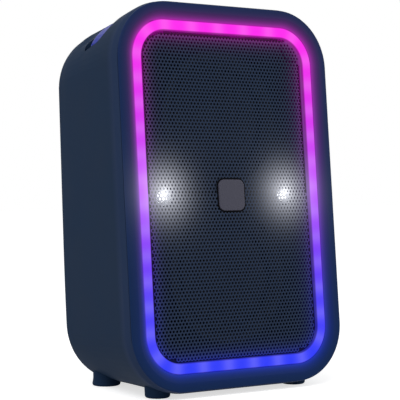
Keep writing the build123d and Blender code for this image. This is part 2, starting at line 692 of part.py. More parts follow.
# ---------------------------------------------------------------- top controls
button_spots = [((i - (len(button_names) - 1) / 2) * button_pitch, panel_middle)
                for i in range(len(button_names))]
panel_back = -(panel_sink + panel_thickness)
post_end = panel_back - post_length
post_spots = [(sx * (panel_length / 2 - post_inset), panel_middle) for sx in (-1, 1)] + [
    (0, panel_middle + sy * (panel_width / 2 - post_inset)) for sy in (-1, 1)]

with BuildPart() as control_panel:
    with BuildSketch(top_plane(-panel_sink)):
        with Locations((0, panel_middle)):
            SlotOverall(panel_length, panel_width)
    extrude(amount=-panel_thickness)
    with BuildSketch(top_plane(-wall - glue_gap)):
        with Locations((0, panel_middle)):
            SlotOverall(panel_length + 2 * panel_flange, panel_width + 2 * panel_flange)
    extrude(amount=panel_back + wall + glue_gap)
    with BuildSketch(top_plane(0)):
        with Locations(*button_spots):
            Circle(button_radius + button_gap)
    extrude(amount=panel_back, mode=Mode.SUBTRACT)
    with BuildSketch(top_plane(panel_back)):
        with Locations(*post_spots):
            Circle(post_radius)
    extrude(amount=-post_length)
finish(control_panel, "control_panel")

for name, spot in zip(button_names, button_spots):
    with BuildPart() as button:
        flange_top = panel_back - seat_gap
        with BuildSketch(top_plane(button_proud)):
            with Locations(spot):
                Circle(button_radius)
        extrude(amount=flange_top - button_proud)
        fillet(button.faces().sort_by(Axis.Z)[-1].edges(), button_edge)
        with BuildSketch(top_plane(flange_top)):
            with Locations(spot):
                Circle(button_radius + button_flange)
        extrude(amount=-button_flange_height)
        with BuildSketch(top_plane(flange_top - button_flange_height)):
            with Locations(spot):
                Circle(button_stem)
        extrude(amount=-button_stem_length)
    finish(button, f"button_{name}")

with BuildPart() as control_board:
    with BuildSketch(top_plane(post_end)):
        with Locations((0, panel_middle)):
            Rectangle(panel_length - 2 * board_margin, panel_width - 2 * board_margin)
    extrude(amount=-board_thickness)
finish(control_board, "control_board")

with BuildPart() as button_switches:
    with BuildSketch(top_plane(post_end)):
        with Locations(*button_spots):
            Rectangle(switch_size, switch_size)
    extrude(amount=switch_height)
finish(button_switches, "button_switches")

# ---------------------------------------------------------------- rear: bass port and socket bay
with BuildPart() as port_tube:
    mouth, outer = port_radius + port_flare, port_radius + port_wall
    flange_back = cabinet_depth - wall
    flange_front = flange_back - flange_thickness
    with BuildSketch(axis_plane(0, port_height)):
        with BuildLine():
            CenterArc((mouth, -(cabinet_depth - port_flare)), port_flare, 180, 90)
            Polyline((mouth, -cabinet_depth), (mouth, -flange_back), (mouth + flange_lap, -flange_back),
                     (mouth + flange_lap, -flange_front), (outer, -flange_front),
                     (outer, -(cabinet_depth - port_length)), (port_radius, -(cabinet_depth - port_length)),
                     (port_radius, -(cabinet_depth - port_flare)))
        make_face()
    revolve(axis=Axis(axis_plane(0, port_height).origin, front.z_dir))
finish(port_tube, "port_tube")

bay_floor = cabinet_depth - bay_depth
bay_inner_bottom = bay_centre - bay_height / 2 + bay_wall
cover_axis = (bay_inner_bottom + cover_axis_rise, cabinet_depth - cover_thickness / 2)
socket_post = bay_floor - bay_wall
board_face = bay_floor - aux_length
post_across, post_up = socket_board_length / 2 - post_inset, socket_board_height / 2 - post_inset
socket_post_spots = [(sx * post_across, bay_centre + sy * post_up) for sx in (-1, 1) for sy in (-1, 1)]

with BuildPart() as socket_bay:
    with BuildSketch(front_plane(bay_floor - bay_wall)):
        with Locations((0, bay_centre)):
            RectangleRounded(bay_length, bay_height, bay_corner)
    extrude(amount=-(bay_depth + bay_wall))
    with BuildSketch(front_plane(cabinet_depth - wall)):
        with Locations((0, bay_centre)):
            lap = 2 * flange_lap
            RectangleRounded(bay_length + lap, bay_height + lap, bay_corner + flange_lap)
    extrude(amount=flange_thickness)
    with BuildSketch(front_plane(bay_floor)):
        with Locations((0, bay_centre)):
            RectangleRounded(bay_length - 2 * bay_wall, bay_height - 2 * bay_wall, bay_corner - bay_wall)
    extrude(amount=-bay_depth, mode=Mode.SUBTRACT)
    with BuildSketch(front_plane(bay_floor)):
        with Locations((usb_spot, bay_centre)):
            RectangleRounded(usb_width, usb_height, usb_height / 2 - 0.1)
        with Locations((aux_spot, bay_centre)):
            Circle(aux_radius)
    extrude(amount=bay_wall, mode=Mode.SUBTRACT)
    with BuildSketch(front_plane(socket_post)):
        with Locations(*socket_post_spots):
            Circle(post_radius)
    extrude(amount=socket_post - board_face)
    # sockets for the cover's two pins
    with BuildSketch(side_plane(-bay_length / 2 + 0.5, *cover_axis)):
        Circle(pin_radius + pin_gap)
    extrude(amount=bay_length - 1, mode=Mode.SUBTRACT)
finish(socket_bay, "socket_bay")

with BuildPart() as port_cover:
    plate_bottom = cover_axis[0] - cover_tail
    plate_top = bay_centre + bay_height / 2 - bay_wall - seam
    plate_length = bay_length - 2 * bay_wall - 2 * seam
    with BuildSketch(front_plane(cabinet_depth - cover_thickness)):
        with Locations((0, (plate_bottom + plate_top) / 2)):
            RectangleRounded(plate_length, plate_top - plate_bottom, bay_corner - bay_wall - seam)
    extrude(amount=-cover_thickness)
    with BuildSketch(front_plane(cabinet_depth)):
        with Locations((0, plate_top + scoop_radius - scoop_reach)):
            Circle(scoop_radius)
    extrude(amount=scoop_depth, mode=Mode.SUBTRACT)
    with BuildSketch(side_plane(-plate_length / 2 - pin_length, *cover_axis)):
        Circle(pin_radius)
    extrude(amount=plate_length + 2 * pin_length)
finish(port_cover, "port_cover")

with BuildPart() as usb_socket:
    with BuildSketch(front_plane(bay_floor)):
        with Locations((usb_spot, bay_centre)):
            RectangleRounded(usb_width, usb_height, usb_height / 2 - 0.1)
    extrude(amount=aux_length)
    with BuildSketch(front_plane(bay_floor)):
        with Locations((usb_spot, bay_centre)):
            RectangleRounded(usb_width - 2 * usb_skin, usb_height - 2 * usb_skin, usb_height / 2 - 0.5)
            Rectangle(usb_width - 2 * (usb_skin + usb_tongue_gap), usb_tongue, mode=Mode.SUBTRACT)
    extrude(amount=usb_bore, mode=Mode.SUBTRACT)
finish(usb_socket, "usb_socket")

with BuildPart() as aux_jack:
    with BuildSketch(front_plane(bay_floor)):
        with Locations((aux_spot, bay_centre)):
            Circle(aux_radius)
    extrude(amount=aux_length)
    with BuildSketch(front_plane(bay_floor)):
        with Locations((aux_spot, bay_centre)):
            Circle(aux_bore)
    extrude(amount=aux_length - 1, mode=Mode.SUBTRACT)
finish(aux_jack, "aux_jack")

with BuildPart() as socket_board:
    with BuildSketch(front_plane(board_face)):
        with Locations((0, bay_centre)):
            Rectangle(socket_board_length, socket_board_height)
    extrude(amount=board_thickness)
finish(socket_board, "socket_board")

# ---------------------------------------------------------------- battery and amplifier
# the battery stands battery_lift above the cavity's floor, which rises towards the rear
battery_back = battery_depth + battery_width
battery_bottom = -lip_height / 2 + wall + (battery_back - lip_depth) * shrink + battery_lift

with BuildPart() as battery_pack:
    with BuildSketch(front_plane(battery_depth)):
        with Locations((0, battery_bottom)):
            Rectangle(battery_length, battery_height, align=(Align.CENTER, Align.MIN))
    extrude(amount=-battery_width)
    fillet(battery_pack.edges().filter_by(Axis.X), battery_edge)
finish(battery_pack, "battery_pack")

with BuildPart() as battery_tray:
    with BuildSketch(front_plane(battery_depth - tray_wall)):
        with Locations((0, battery_bottom + tray_rim)):
            Rectangle(battery_length + 2 * tray_wall, tray_height, align=(Align.CENTER, Align.MAX))
    extrude(amount=-(battery_width + 2 * tray_wall))
    add(battery_pack.part, mode=Mode.SUBTRACT)
    add(cavity, mode=Mode.INTERSECT)
finish(battery_tray, "battery_tray")

board_back = cabinet_depth - wall - stand_length
with BuildPart() as amplifier_board:
    with BuildSketch(front_plane(board_back)):
        with Locations((0, amplifier_middle)):
            Rectangle(amplifier_length, amplifier_height)
        with Locations(*stand_spots):
            Circle(screw_clearance, mode=Mode.SUBTRACT)
    extrude(amount=board_thickness)
finish(amplifier_board, "amplifier_board")

board_front = board_back - board_thickness
with BuildPart() as amplifier_screws:
    add(screws_facing_front(stand_spots, board_front, board_thickness + amplifier_screw_reach))
finish(amplifier_screws, "amplifier_screws")

with BuildPart() as heat_sink:
    with BuildSketch(front_plane(board_front)):
        with Locations((sink_offset, amplifier_middle)):
            Rectangle(sink_length, sink_height)
    extrude(amount=sink_base)
    with BuildSketch(front_plane(board_front - sink_base)):
        with Locations((sink_offset, amplifier_middle)):
            with GridLocations(fin_pitch, 0, fin_count, 1):
                Rectangle(fin_thickness, sink_height)
    extrude(amount=fin_height)
finish(heat_sink, "heat_sink")

with BuildPart() as capacitors:
    with BuildSketch(front_plane(board_front)):
        with Locations((capacitor_offset, amplifier_middle)):
            with GridLocations(capacitor_pitch, capacitor_pitch, 2, 3):
                Circle(capacitor_radius)
    extrude(amount=capacitor_height)
finish(capacitors, "capacitors")

# ---------------------------------------------------------------- feet
outer_form = drafted_block(0, rim_depth, cabinet_depth)
for place, spot in foot_places.items():
    with BuildPart() as foot:
        with BuildSketch(Plane.XY):
            with Locations(spot):
                Circle(foot_front_radius if place.startswith("front") else foot_rear_radius)
        extrude(amount=30, taper=-foot_draft)
        fillet(foot.faces().sort_by(Axis.Z)[0].edges(), foot_edge)
        add(outer_form, mode=Mode.SUBTRACT)
        with BuildSketch(Plane.XY):
            with Locations(spot):
                Circle(foot_recess)
        extrude(amount=foot_head_seat, mode=Mode.SUBTRACT)
        with BuildSketch(Plane.XY):
            with Locations(spot):
                Circle(screw_clearance)
        extrude(amount=20, mode=Mode.SUBTRACT)
    finish(foot, f"foot_{place}")

with BuildPart() as foot_screws:
    with BuildSketch(Plane.XY.offset(foot_head_seat)):
        with Locations(*foot_places.values()):
            Circle(screw_head)
    extrude(amount=-screw_head_height)
    with BuildSketch(Plane.XY.offset(foot_head_seat)):
        with Locations(*foot_places.values()):
            Circle(screw_radius - thread_gap)
    extrude(amount=foot_screw_length)
finish(foot_screws, "foot_screws")
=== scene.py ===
"""Looks of a portable party speaker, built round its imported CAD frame.

Every new piece is modelled lying in the leaning front's own frame (x across, y up, z towards the
listener, origin at the light ring's centre) and then laid into the row frame by FRONT.
"""

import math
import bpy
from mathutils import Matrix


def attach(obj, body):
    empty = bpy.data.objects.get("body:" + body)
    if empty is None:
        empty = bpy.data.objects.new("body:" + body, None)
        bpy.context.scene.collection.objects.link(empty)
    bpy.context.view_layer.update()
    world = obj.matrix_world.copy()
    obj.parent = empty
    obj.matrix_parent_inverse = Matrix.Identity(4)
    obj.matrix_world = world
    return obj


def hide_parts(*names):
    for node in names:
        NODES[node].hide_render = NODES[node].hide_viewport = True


bl_info = {
    "name": "Party Speaker",
    "version": (1, 0, 0),
    "blender": (4, 5, 0),
    "location": "3D View > Sidebar > Speaker",
    "description": "Grille, light ring, signs, finishes and stage of a portable party speaker",
    "category": "Add Mesh",
}

from fnmatch import fnmatch

import bmesh
import bpy
from bpy.props import FloatProperty, FloatVectorProperty, PointerProperty
from mathutils import Matrix, Vector

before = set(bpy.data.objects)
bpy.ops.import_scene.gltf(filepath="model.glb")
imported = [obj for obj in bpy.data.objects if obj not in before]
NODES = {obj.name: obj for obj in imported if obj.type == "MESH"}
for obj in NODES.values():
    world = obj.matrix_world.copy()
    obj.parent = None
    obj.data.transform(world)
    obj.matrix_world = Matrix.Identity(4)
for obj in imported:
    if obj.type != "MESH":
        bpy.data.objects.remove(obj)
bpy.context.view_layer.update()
ROOT = "cabinet"

# The front leans back, the cabinet narrows towards its back, and the top face falls to the rear.
LEAN = math.radians(5.2)
SHRINK = math.tan(math.radians(4.3))
TOP_TILT = math.radians(9.5)
ACROSS = Vector((1, 0, 0))
UP = Vector((0, math.sin(LEAN), math.cos(LEAN)))
OUT = Vector((0, -math.cos(LEAN), math.sin(LEAN)))
TOP_NORMAL = Vector((0, math.sin(TOP_TILT), math.cos(TOP_TILT)))
TOP_REAR = Vector((0, math.cos(TOP_TILT), -math.sin(TOP_TILT)))

# Roundings of CAD nodes that the pieces made here follow.
BADGE_CORNER = 0.007
GRIP_CORNER = 0.030
REAR_EDGE = 0.0109


def reach(node, direction):
    """How far a CAD node reaches along a direction: its lowest and highest value."""
    along = [vert.co.dot(direction) for vert in NODES[node].data.vertices]
    return min(along), max(along)


def ring_centre():
    """The light ring's centre, on its face, in the row frame."""
    low, high = reach("light_diffuser", UP)
    return UP * (low + high) / 2 + OUT * reach("light_diffuser", OUT)[1]


CENTRE = ring_centre()
FRONT = Matrix.Translation(CENTRE) @ Matrix((ACROSS, UP, OUT)).transposed().to_4x4()


def front_box(node):
    """A CAD node's lowest and highest corner in the leaning front's frame."""
    spans = [reach(node, ACROSS), reach(node, UP), reach(node, OUT)]
    middle = [0.0, CENTRE.dot(UP), CENTRE.dot(OUT)]
    low = Vector(span[0] - mid for span, mid in zip(spans, middle))
    high = Vector(span[1] - mid for span, mid in zip(spans, middle))
    return low, high


# ---- sizes and colours
def shade(red, green, blue):
    """A screen colour, 0 to 255, as the linear colour that Blender keeps."""
    parts = [value / 255 for value in (red, green, blue)]
    return tuple(c / 12.92 if c <= 0.04045 else ((c + 0.055) / 1.055) ** 2.4 for c in parts)


def metres(name, description, default, least=0.0):
    """A size, and the least that it may be."""
    return FloatProperty(name=name, description=description, default=default, min=least,
                         unit="LENGTH")


def degrees(name, description, degrees):
    """An angle, stated in degrees."""
    return FloatProperty(name=name, description=description, default=math.radians(degrees),
                         subtype="ANGLE")


def watts(name, description, default):
    """A lamp's power in watts."""
    return FloatProperty(name=name, description=description, default=default, unit="POWER")


def paint(name, description, *screen):
    """A finish's colour, stated as it shows on a screen."""
    return FloatVectorProperty(name=name, description=description, default=shade(*screen),
                               subtype="COLOR", min=0, max=1)


class SpeakerSizes(bpy.types.PropertyGroup):
    """Sizes of the pieces that are modelled here."""

    hole_pitch: metres("Hole pitch", "Distance between the grille's holes in a row", 0.004, 0.002)
    hole_size: metres("Hole size", "Width across one hole of the grille", 0.0028, 0.0005)
    grille_corner: metres("Grille corner", "Corner radius of the grille's outline", 0.0286)
    grille_border: metres("Grille border", "Plain edge between the outline and the holes", 0.0012)
    ring_corner: metres("Ring corner", "Outer corner radius of the light ring", 0.040)
    ring_band: metres("Ring band", "Width of the lit band", 0.011, 0.001)
    ring_skin: metres("Ring skin", "Thickness of the diffuser's face", 0.003, 0.0005)
    ring_leg: metres("Ring leg", "Thickness of the diffuser's side walls", 0.0016, 0.0005)
    ring_round: metres("Ring rounding", "Rounding of the diffuser's front edges", 0.0012)
    spot_size: metres("Spot size", "Radius of the bright spot in front of each lamp", 0.007, 0.001)
    # Painted shade: a dark strip round the badge stands for the shaded gap there; its width and how
    # far it stands above the grille.
    gap_shade_width: metres("Gap shade width", "Width of the dark seal that shows round the badge",
                         0.0014, 0.0002)
    gap_shade_rise: metres("Gap shade rise", "How far that seal stands above the grille", 0.0004, 0.0001)
    lip_depth: metres("Lip depth", "Depth of the cabinet's widest section behind the ring's face",
                      0.0074)
    lip_corner: metres("Lip corner", "Corner radius of the cabinet's widest section", 0.0628, 0.001)
    back_corner: metres("Back corner", "Corner radius that the cabinet keeps to its back",
                        0.062, 0.001)
    back_turn: degrees("Back turn", "How much less than the front the upper back leans", 2.0)
    back_bend: metres("Back bend", "Height from the ring's centre where the back's lean changes",
                      -0.08, -1.0)
    rim_depth: metres("Rim depth", "Depth of the handle well's rear edge behind the ring's face",
                      0.0836)
    rim_ease: metres("Rim ease", "How far the rim behind the grip's ends is eased down", 0.0028)
    grip_gap: metres("Grip gap", "From the cabinet's outline in to the grip's outer face", 0.0025)
    grip_reach: metres("Grip reach", "How much further back the grip's rear edge lies", 0.006)
    sign_rise: metres("Sign rise", "How far the signs stand above the buttons", 0.00015, 0.00005)
    sign_stroke: metres("Sign stroke", "Width of the lines in the button signs", 0.0009, 0.0002)


class SpeakerColours(bpy.types.PropertyGroup):
    """Colours of the finishes."""

    cabinet: paint("Cabinet", "Textured slate navy of the cabinet", 31, 47, 69)
    # Painted highlight: the lighter lip colour stands for light that the cabinet's front edge
    # catches.
    lip_highlight: paint("Cabinet lip", "Smoother, lighter edge against the bezel", 40, 54, 82)
    bezel: paint("Bezel", "Satin navy of the frame round the light ring", 20, 42, 79)
    grille: paint("Grille", "Powder coat of the perforated grille", 36, 49, 71)
    badge: paint("Badge", "Satin charcoal of the bare badge", 58, 58, 73)
    black: paint("Black plastic", "Moulded inner parts", 14, 15, 19)
    # The baffle's dark plastic; the same colour is painted shade on the strip that stands for the
    # gap round the badge.
    shadow: paint("Darkest plastic", "Baffle behind the grille, badge seal", 5.8, 6.3, 8.6)
    grip: paint("Grip", "Bright blue of the carrying grip", 18, 40, 150)
    rubber: paint("Rubber", "Feet and port cover", 30, 49, 75)
    buttons: paint("Buttons", "Silicone of the six buttons", 40, 52, 74)
    signs: paint("Signs", "Raised signs on the buttons", 200, 206, 220)
    sleeve: paint("Battery sleeve", "Shrunk film round the battery", 30, 90, 160)
    ring_top: paint("Ring top", "Light ring at its top", 255, 40, 238)
    ring_upper: paint("Ring upper", "Light ring between its top and its middle", 220, 50, 240)
    ring_middle: paint("Ring middle", "Light ring halfway up", 184, 74, 248)
    ring_lower: paint("Ring lower", "Light ring between its middle and its foot", 120, 60, 248)
    ring_low: paint("Ring low", "Light ring near its foot", 84, 66, 250)
    ring_foot: paint("Ring foot", "Light ring at its foot", 45, 60, 250)


class SpeakerStage(bpy.types.PropertyGroup):
    """Camera and lamps."""

    camera_place: FloatVectorProperty(
        name="Camera place", description="Where the camera stands",
        default=(-0.8123, -1.2274, 0.2142), subtype="TRANSLATION")
    camera_heading: degrees("Camera heading", "Turned from +Y towards +X", 33.8)
    camera_pitch: degrees("Camera pitch", "Tilt above the horizon", -0.74)
    camera_roll: degrees("Camera roll", "Turn about the line of sight", -0.13)
    camera_lens: FloatProperty(
        name="Camera lens", description="Focal length in millimetres", default=124.1, min=1.0)
    key_power: watts("Key lamp", "Large soft lamp at the upper left", 26.0)
    fill_power: watts("Fill lamp", "Soft lamp at the right", 10.0)
    side_power: watts("Side lamp", "Small soft lamp over the left side", 2.5)
    ambient: FloatProperty(
        name="Ambient", description="Brightness of the light from all round",
        default=0.5, min=0.0)


# ---- node trees
def wire(tree, socket, value):
    """Links a socket to another one, or sets its value."""
    if isinstance(value, bpy.types.NodeSocket):
        tree.links.new(value, socket)
    else:
        socket.default_value = value


def put(tree, kind, inputs=None, **settings):
    """Adds a shader node with its settings and its inputs, by name or by number."""
    made = tree.nodes.new("ShaderNode" + kind)
    for name, value in settings.items():
        setattr(made, name, value)
    for key, value in (inputs or {}).items():
        wire(tree, made.inputs[key], value)
    return made


def maths(tree, operation, *values):
    """One step of arithmetic on single values."""
    return put(tree, "Math", dict(enumerate(values)), operation=operation).outputs[0]


def vectors(tree, operation, *values):
    """One step of arithmetic on vectors."""
    made = put(tree, "VectorMath", dict(enumerate(values)), operation=operation).outputs
    return made["Value"] if operation in ("LENGTH", "DISTANCE") else made[0]


def scaled(tree, vector, factor):
    """A colour or a vector times a single value."""
    return put(tree, "VectorMath", {0: vector, "Scale": factor}, operation="SCALE").outputs[0]


def mixed(tree, factor, first, second):
    """Two colours mixed by a factor."""
    return put(tree, "Mix", {0: factor, 6: first, 7: second}, data_type="RGBA").outputs[2]


def remap(tree, value, low, high, to_low, to_high):
    """A value stretched from one range to another, and kept inside it."""
    ends = {"From Min": low, "From Max": high, "To Min": to_low, "To Max": to_high}
    return put(tree, "MapRange", {"Value": value, **ends}, clamp=True).outputs[0]


def apart(tree, vector):
    """A vector's parts along X, Y and Z."""
    return put(tree, "SeparateXYZ", {0: vector}).outputs


def grey(tree, value):
    """One value as a colour."""
    return put(tree, "CombineXYZ", {0: value, 1: value, 2: value}).outputs[0]


def fading(tree, away, over, sharpness=1.0):
    """1 at no distance, 1/e at the distance `over`, and the steeper between the sharper it is."""
    share = maths(tree, "POWER", maths(tree, "DIVIDE", away, over), sharpness)
    return maths(tree, "EXPONENT", maths(tree, "MULTIPLY", share, -1.0))


def object_place(tree):
    """Place on the object."""
    return put(tree, "TexCoord").outputs["Object"]


def leaning_place(tree):
    """Place in the leaning front's frame: across, up, out."""
    return use_group(tree, "Leaning place")["Place"]


def noise(tree, place, scale, detail=2.0, **more):
    """A noise texture's value."""
    inputs = {"Vector": place, "Scale": scale, "Detail": detail, **more}
    return put(tree, "TexNoise", inputs).outputs["Fac"]


def opaque(colour):
    """A colour with its alpha."""
    return (*colour, 1.0)


def new_group(name, inputs, outputs):
    """A shared node group from its sockets: its tree, inputs and outputs."""
    tree = bpy.data.node_groups.new(name, "ShaderNodeTree")
    for label, default in inputs.items():
        kind = "Float" if isinstance(default, float) else "Vector"
        made = tree.interface.new_socket(name=label, socket_type="NodeSocket" + kind)
        made.default_value = default
    for label, kind in outputs.items():
        tree.interface.new_socket(name=label, in_out="OUTPUT", socket_type="NodeSocket" + kind)
    return tree, tree.nodes.new("NodeGroupInput").outputs, tree.nodes.new("NodeGroupOutput").inputs


def use_group(tree, name, inputs=None):
    """Places a shared group in a tree, and returns its outputs."""
    made = tree.nodes.new("ShaderNodeGroup")
    made.node_tree = bpy.data.node_groups[name]
    for key, value in (inputs or {}).items():
        wire(tree, made.inputs[key], value)
    return made.outputs


def group_leaning_place():
    """Place in the leaning front's frame."""
    tree, _, outs = new_group("Leaning place", {}, {"Place": "Vector"})
    turned = {"Vector": object_place(tree), "Location": CENTRE,
              "Rotation": (math.pi / 2 - LEAN, 0.0, 0.0)}
    wire(tree, outs["Place"], put(tree, "Mapping", turned, vector_type="TEXTURE").outputs[0])


def group_outline_distance():
    """Distance outside a rounded rectangle round the ring's centre, negative inside it."""
    tree, ins, outs = new_group(
        "Outline distance", {"Place": (0, 0, 0), "Half size": (0, 0, 0), "Corner": 0.0},
        {"Distance": "Float"})
    folded = vectors(tree, "ABSOLUTE", vectors(tree, "MULTIPLY", ins["Place"], (1, 1, 0)))
    inner = vectors(tree, "SUBTRACT", ins["Half size"], grey(tree, ins["Corner"]))
    past = vectors(tree, "SUBTRACT", folded, inner)
    flat_past = vectors(tree, "MULTIPLY", past, (1, 1, 0))
    outside = vectors(tree, "LENGTH", vectors(tree, "MAXIMUM", flat_past, (0, 0, 0)))
    parts = apart(tree, past)
    inside = maths(tree, "MINIMUM", maths(tree, "MAXIMUM", parts[0], parts[1]), 0.0)
    total = maths(tree, "SUBTRACT", maths(tree, "ADD", outside, inside), ins["Corner"])
    wire(tree, outs["Distance"], total)


# The ring's colour runs over this height, and its colours lie at these shares of it.
RAMP_HEIGHT = 0.3548
RAMP_STOPS = {"ring_foot": 0.02, "ring_low": 0.2, "ring_lower": 0.325, "ring_middle": 0.515,
              "ring_upper": 0.74, "ring_top": 0.97}


def group_ring_colour(colours):
    """The light ring's colour at a height above its centre."""
    tree, ins, outs = new_group("Ring colour", {"Up": 0.0}, {"Colour": "Color"})
    along = remap(tree, ins["Up"], -RAMP_HEIGHT / 2, RAMP_HEIGHT / 2, 0.0, 1.0)
    ramp = put(tree, "ValToRGB", {0: along})
    stops = [(at, opaque(getattr(colours, name))) for name, at in RAMP_STOPS.items()]
    band = ramp.color_ramp.elements
    for at, light in stops[1:-1]:
        band.new(at).color = light
    for end in (0, -1):
        band[end].position, band[end].color = stops[end]
    wire(tree, outs["Colour"], ramp.outputs[0])


def group_ring_glow(sizes):
    """Light that the ring throws on what surrounds it, fading with distance from the band."""
    tree, ins, outs = new_group(
        "Ring glow", {"Strength": 1.0, "Fade": 0.006}, {"Colour": "Color", "Distance": "Float"})
    place = leaning_place(tree)
    low, high = front_box("light_diffuser")
    half = (high - low) / 2
    outer, inner = (use_group(tree, "Outline distance", {
        "Place": place, "Half size": (half.x - inset, half.y - inset, 0),
        "Corner": sizes.ring_corner - inset})[0] for inset in (0, sizes.ring_band))
    signed = maths(tree, "MAXIMUM", outer, maths(tree, "MULTIPLY", inner, -1.0))
    fade = fading(tree, maths(tree, "MAXIMUM", signed, 0.0), ins["Fade"])
    light = use_group(tree, "Ring colour", {"Up": apart(tree, place)["Y"]})["Colour"]
    wire(tree, outs["Colour"], scaled(tree, light, maths(tree, "MULTIPLY", fade, ins["Strength"])))
    wire(tree, outs["Distance"], signed)


# The strobe lamps' light on what is near them: its share, the distance over which it fades, and
# how sharply. Its middle lies a little beside the lens, and its haze and veil are slightly blue.
STROBE_CORE = (0.6, 0.0048, 1.0)
STROBE_HAZE = (0.25, 0.024, 1.8)
STROBE_VEIL = (0.07, 0.02, 1.0)
STROBE_TINT = (0.97, 0.98, 1.08)
STROBE_SHIFT = Vector((-0.0042, 0.0034, 0.0))


def strobe_distances(tree, shift):
    """Distance from each strobe lens's centre, moved by a shift, over the front's plane."""
    flat = vectors(tree, "MULTIPLY", leaning_place(tree), (1, 1, 0))
    boxes = [front_box(f"strobe_{side}_lens") for side in ("left", "right")]
    centres = [((low + high) / 2 + shift) * Vector((1, 1, 0)) for low, high in boxes]
    return [vectors(tree, "DISTANCE", flat, centre) for centre in centres]


def group_strobe_glow():
    """White light that the two strobe lamps throw on what is near them."""
    tree, ins, outs = new_group("Strobe glow", {"Strength": 1.0}, {"Colour": "Color"})
    lights = []
    for away in strobe_distances(tree, STROBE_SHIFT):
        core, haze, veil = (
            maths(tree, "MULTIPLY", fading(tree, away, over, sharpness), share)
            for share, over, sharpness in (STROBE_CORE, STROBE_HAZE, STROBE_VEIL))
        dim = vectors(tree, "MULTIPLY", grey(tree, maths(tree, "ADD", haze, veil)), STROBE_TINT)
        lights.append(vectors(tree, "ADD", grey(tree, core), dim))
    wire(tree, outs["Colour"], scaled(tree, vectors(tree, "ADD", *lights), ins["Strength"]))


def group_moulded_grain():
    """Spark-eroded mould texture: a fine height, and a slow cloudiness for colour and gloss."""
    tree, ins, outs = new_group(
        "Moulded grain", {"Scale": 900.0}, {"Height": "Float", "Cloud": "Float"})
    place = object_place(tree)
    pits = put(tree, "TexVoronoi", {"Vector": place, "Scale": ins["Scale"]}, feature="SMOOTH_F1")
    dust = noise(tree, place, maths(tree, "MULTIPLY", ins["Scale"], 0.6), 4.0, Roughness=0.6)
    wire(tree, outs["Height"], maths(
        tree, "ADD", maths(tree, "MULTIPLY", pits.outputs["Distance"], 0.5), dust))
    wire(tree, outs["Cloud"], noise(tree, place, 22.0, 3.0, Roughness=0.55))


def prepared(context):
    """Makes the shared groups once, and returns the sizes and the colours."""
    sizes, colours = context.scene.speaker_sizes, context.scene.speaker_colours
    if "Leaning place" not in bpy.data.node_groups:
        group_leaning_place()
        group_outline_distance()
        group_ring_colour(colours)
        group_ring_glow(sizes)
        group_strobe_glow()
        group_moulded_grain()
    return sizes, colours


# ---- finishes
def new_finish(name, **constants):
    """A material, its tree, and its Principled shader with fixed values set on its sockets."""
    made = bpy.data.materials.new(name)
    made.use_nodes = True
    shader = made.node_tree.nodes["Principled BSDF"]
    for key, value in constants.items():
        shader.inputs[key.replace("_", " ")].default_value = value
    return made, made.node_tree, shader


def surface(tree, shader, value, dark, light, rough=None):
    """Colour, and gloss where it is given, from the low to the high end of a texture."""
    wire(tree, shader.inputs["Base Color"], mixed(tree, value, opaque(dark), opaque(light)))
    if rough:
        wire(tree, shader.inputs["Roughness"], remap(tree, value, 0.3, 0.7, *rough))


def bumped(tree, shader, height, distance, strength):
    """Relief that follows a texture."""
    bump = put(tree, "Bump", {"Height": height, "Distance": distance, "Strength": strength})
    wire(tree, shader.inputs["Normal"], bump.outputs[0])


def lit(tree, shader, light, strength=1.0):
    """Light that a surface gives off."""
    wire(tree, shader.inputs["Emission Color"], light)
    shader.inputs["Emission Strength"].default_value = strength


def toned(colour, share):
    """A darker or lighter tone of a colour."""
    return tuple(c * share for c in colour)


def moulded(name, colour, roughness, grain=900.0, depth=4e-5, contrast=0.12, shine=0.5,
            glow=None, **constants):
    """Moulded plastic or rubber: fine texture, and slight clouds in its colour and gloss.

    Its glow is the strobes' share, the ring's share, and over what distance that one fades."""
    _, tree, shader = new_finish(name, Specular_IOR_Level=shine, **constants)
    texture = use_group(tree, "Moulded grain", {"Scale": grain})
    surface(tree, shader, texture["Cloud"], toned(colour, 1 - contrast),
            toned(colour, 1 + contrast), (roughness - 0.04, roughness + 0.05))
    bumped(tree, shader, texture["Height"], depth, 0.6)
    if glow:
        strobe = use_group(tree, "Strobe glow", {"Strength": glow[0]})["Colour"]
        ring = use_group(tree, "Ring glow", {"Strength": glow[1], "Fade": glow[2]})["Colour"]
        lit(tree, shader, vectors(tree, "ADD", ring, strobe))
    return tree, shader


def brushed(name, colour, roughness, scale=400.0, stretch=(1, 1, 30)):
    """Plated, drawn or cast metal with fine streaks."""
    _, tree, shader = new_finish(name, Metallic=1.0)
    drawn = put(tree, "Mapping", {"Vector": object_place(tree), "Scale": stretch}).outputs[0]
    streaks = noise(tree, drawn, scale, 3.0)
    surface(tree, shader, streaks, toned(colour, 0.86), colour,
            (roughness - 0.06, roughness + 0.08))
    bumped(tree, shader, streaks, 2e-5, 0.5)
    return tree, shader


CABINET, BLACK, RUBBER, GRIP = "cabinet slate navy", "black plastic", "navy rubber", "grip blue"
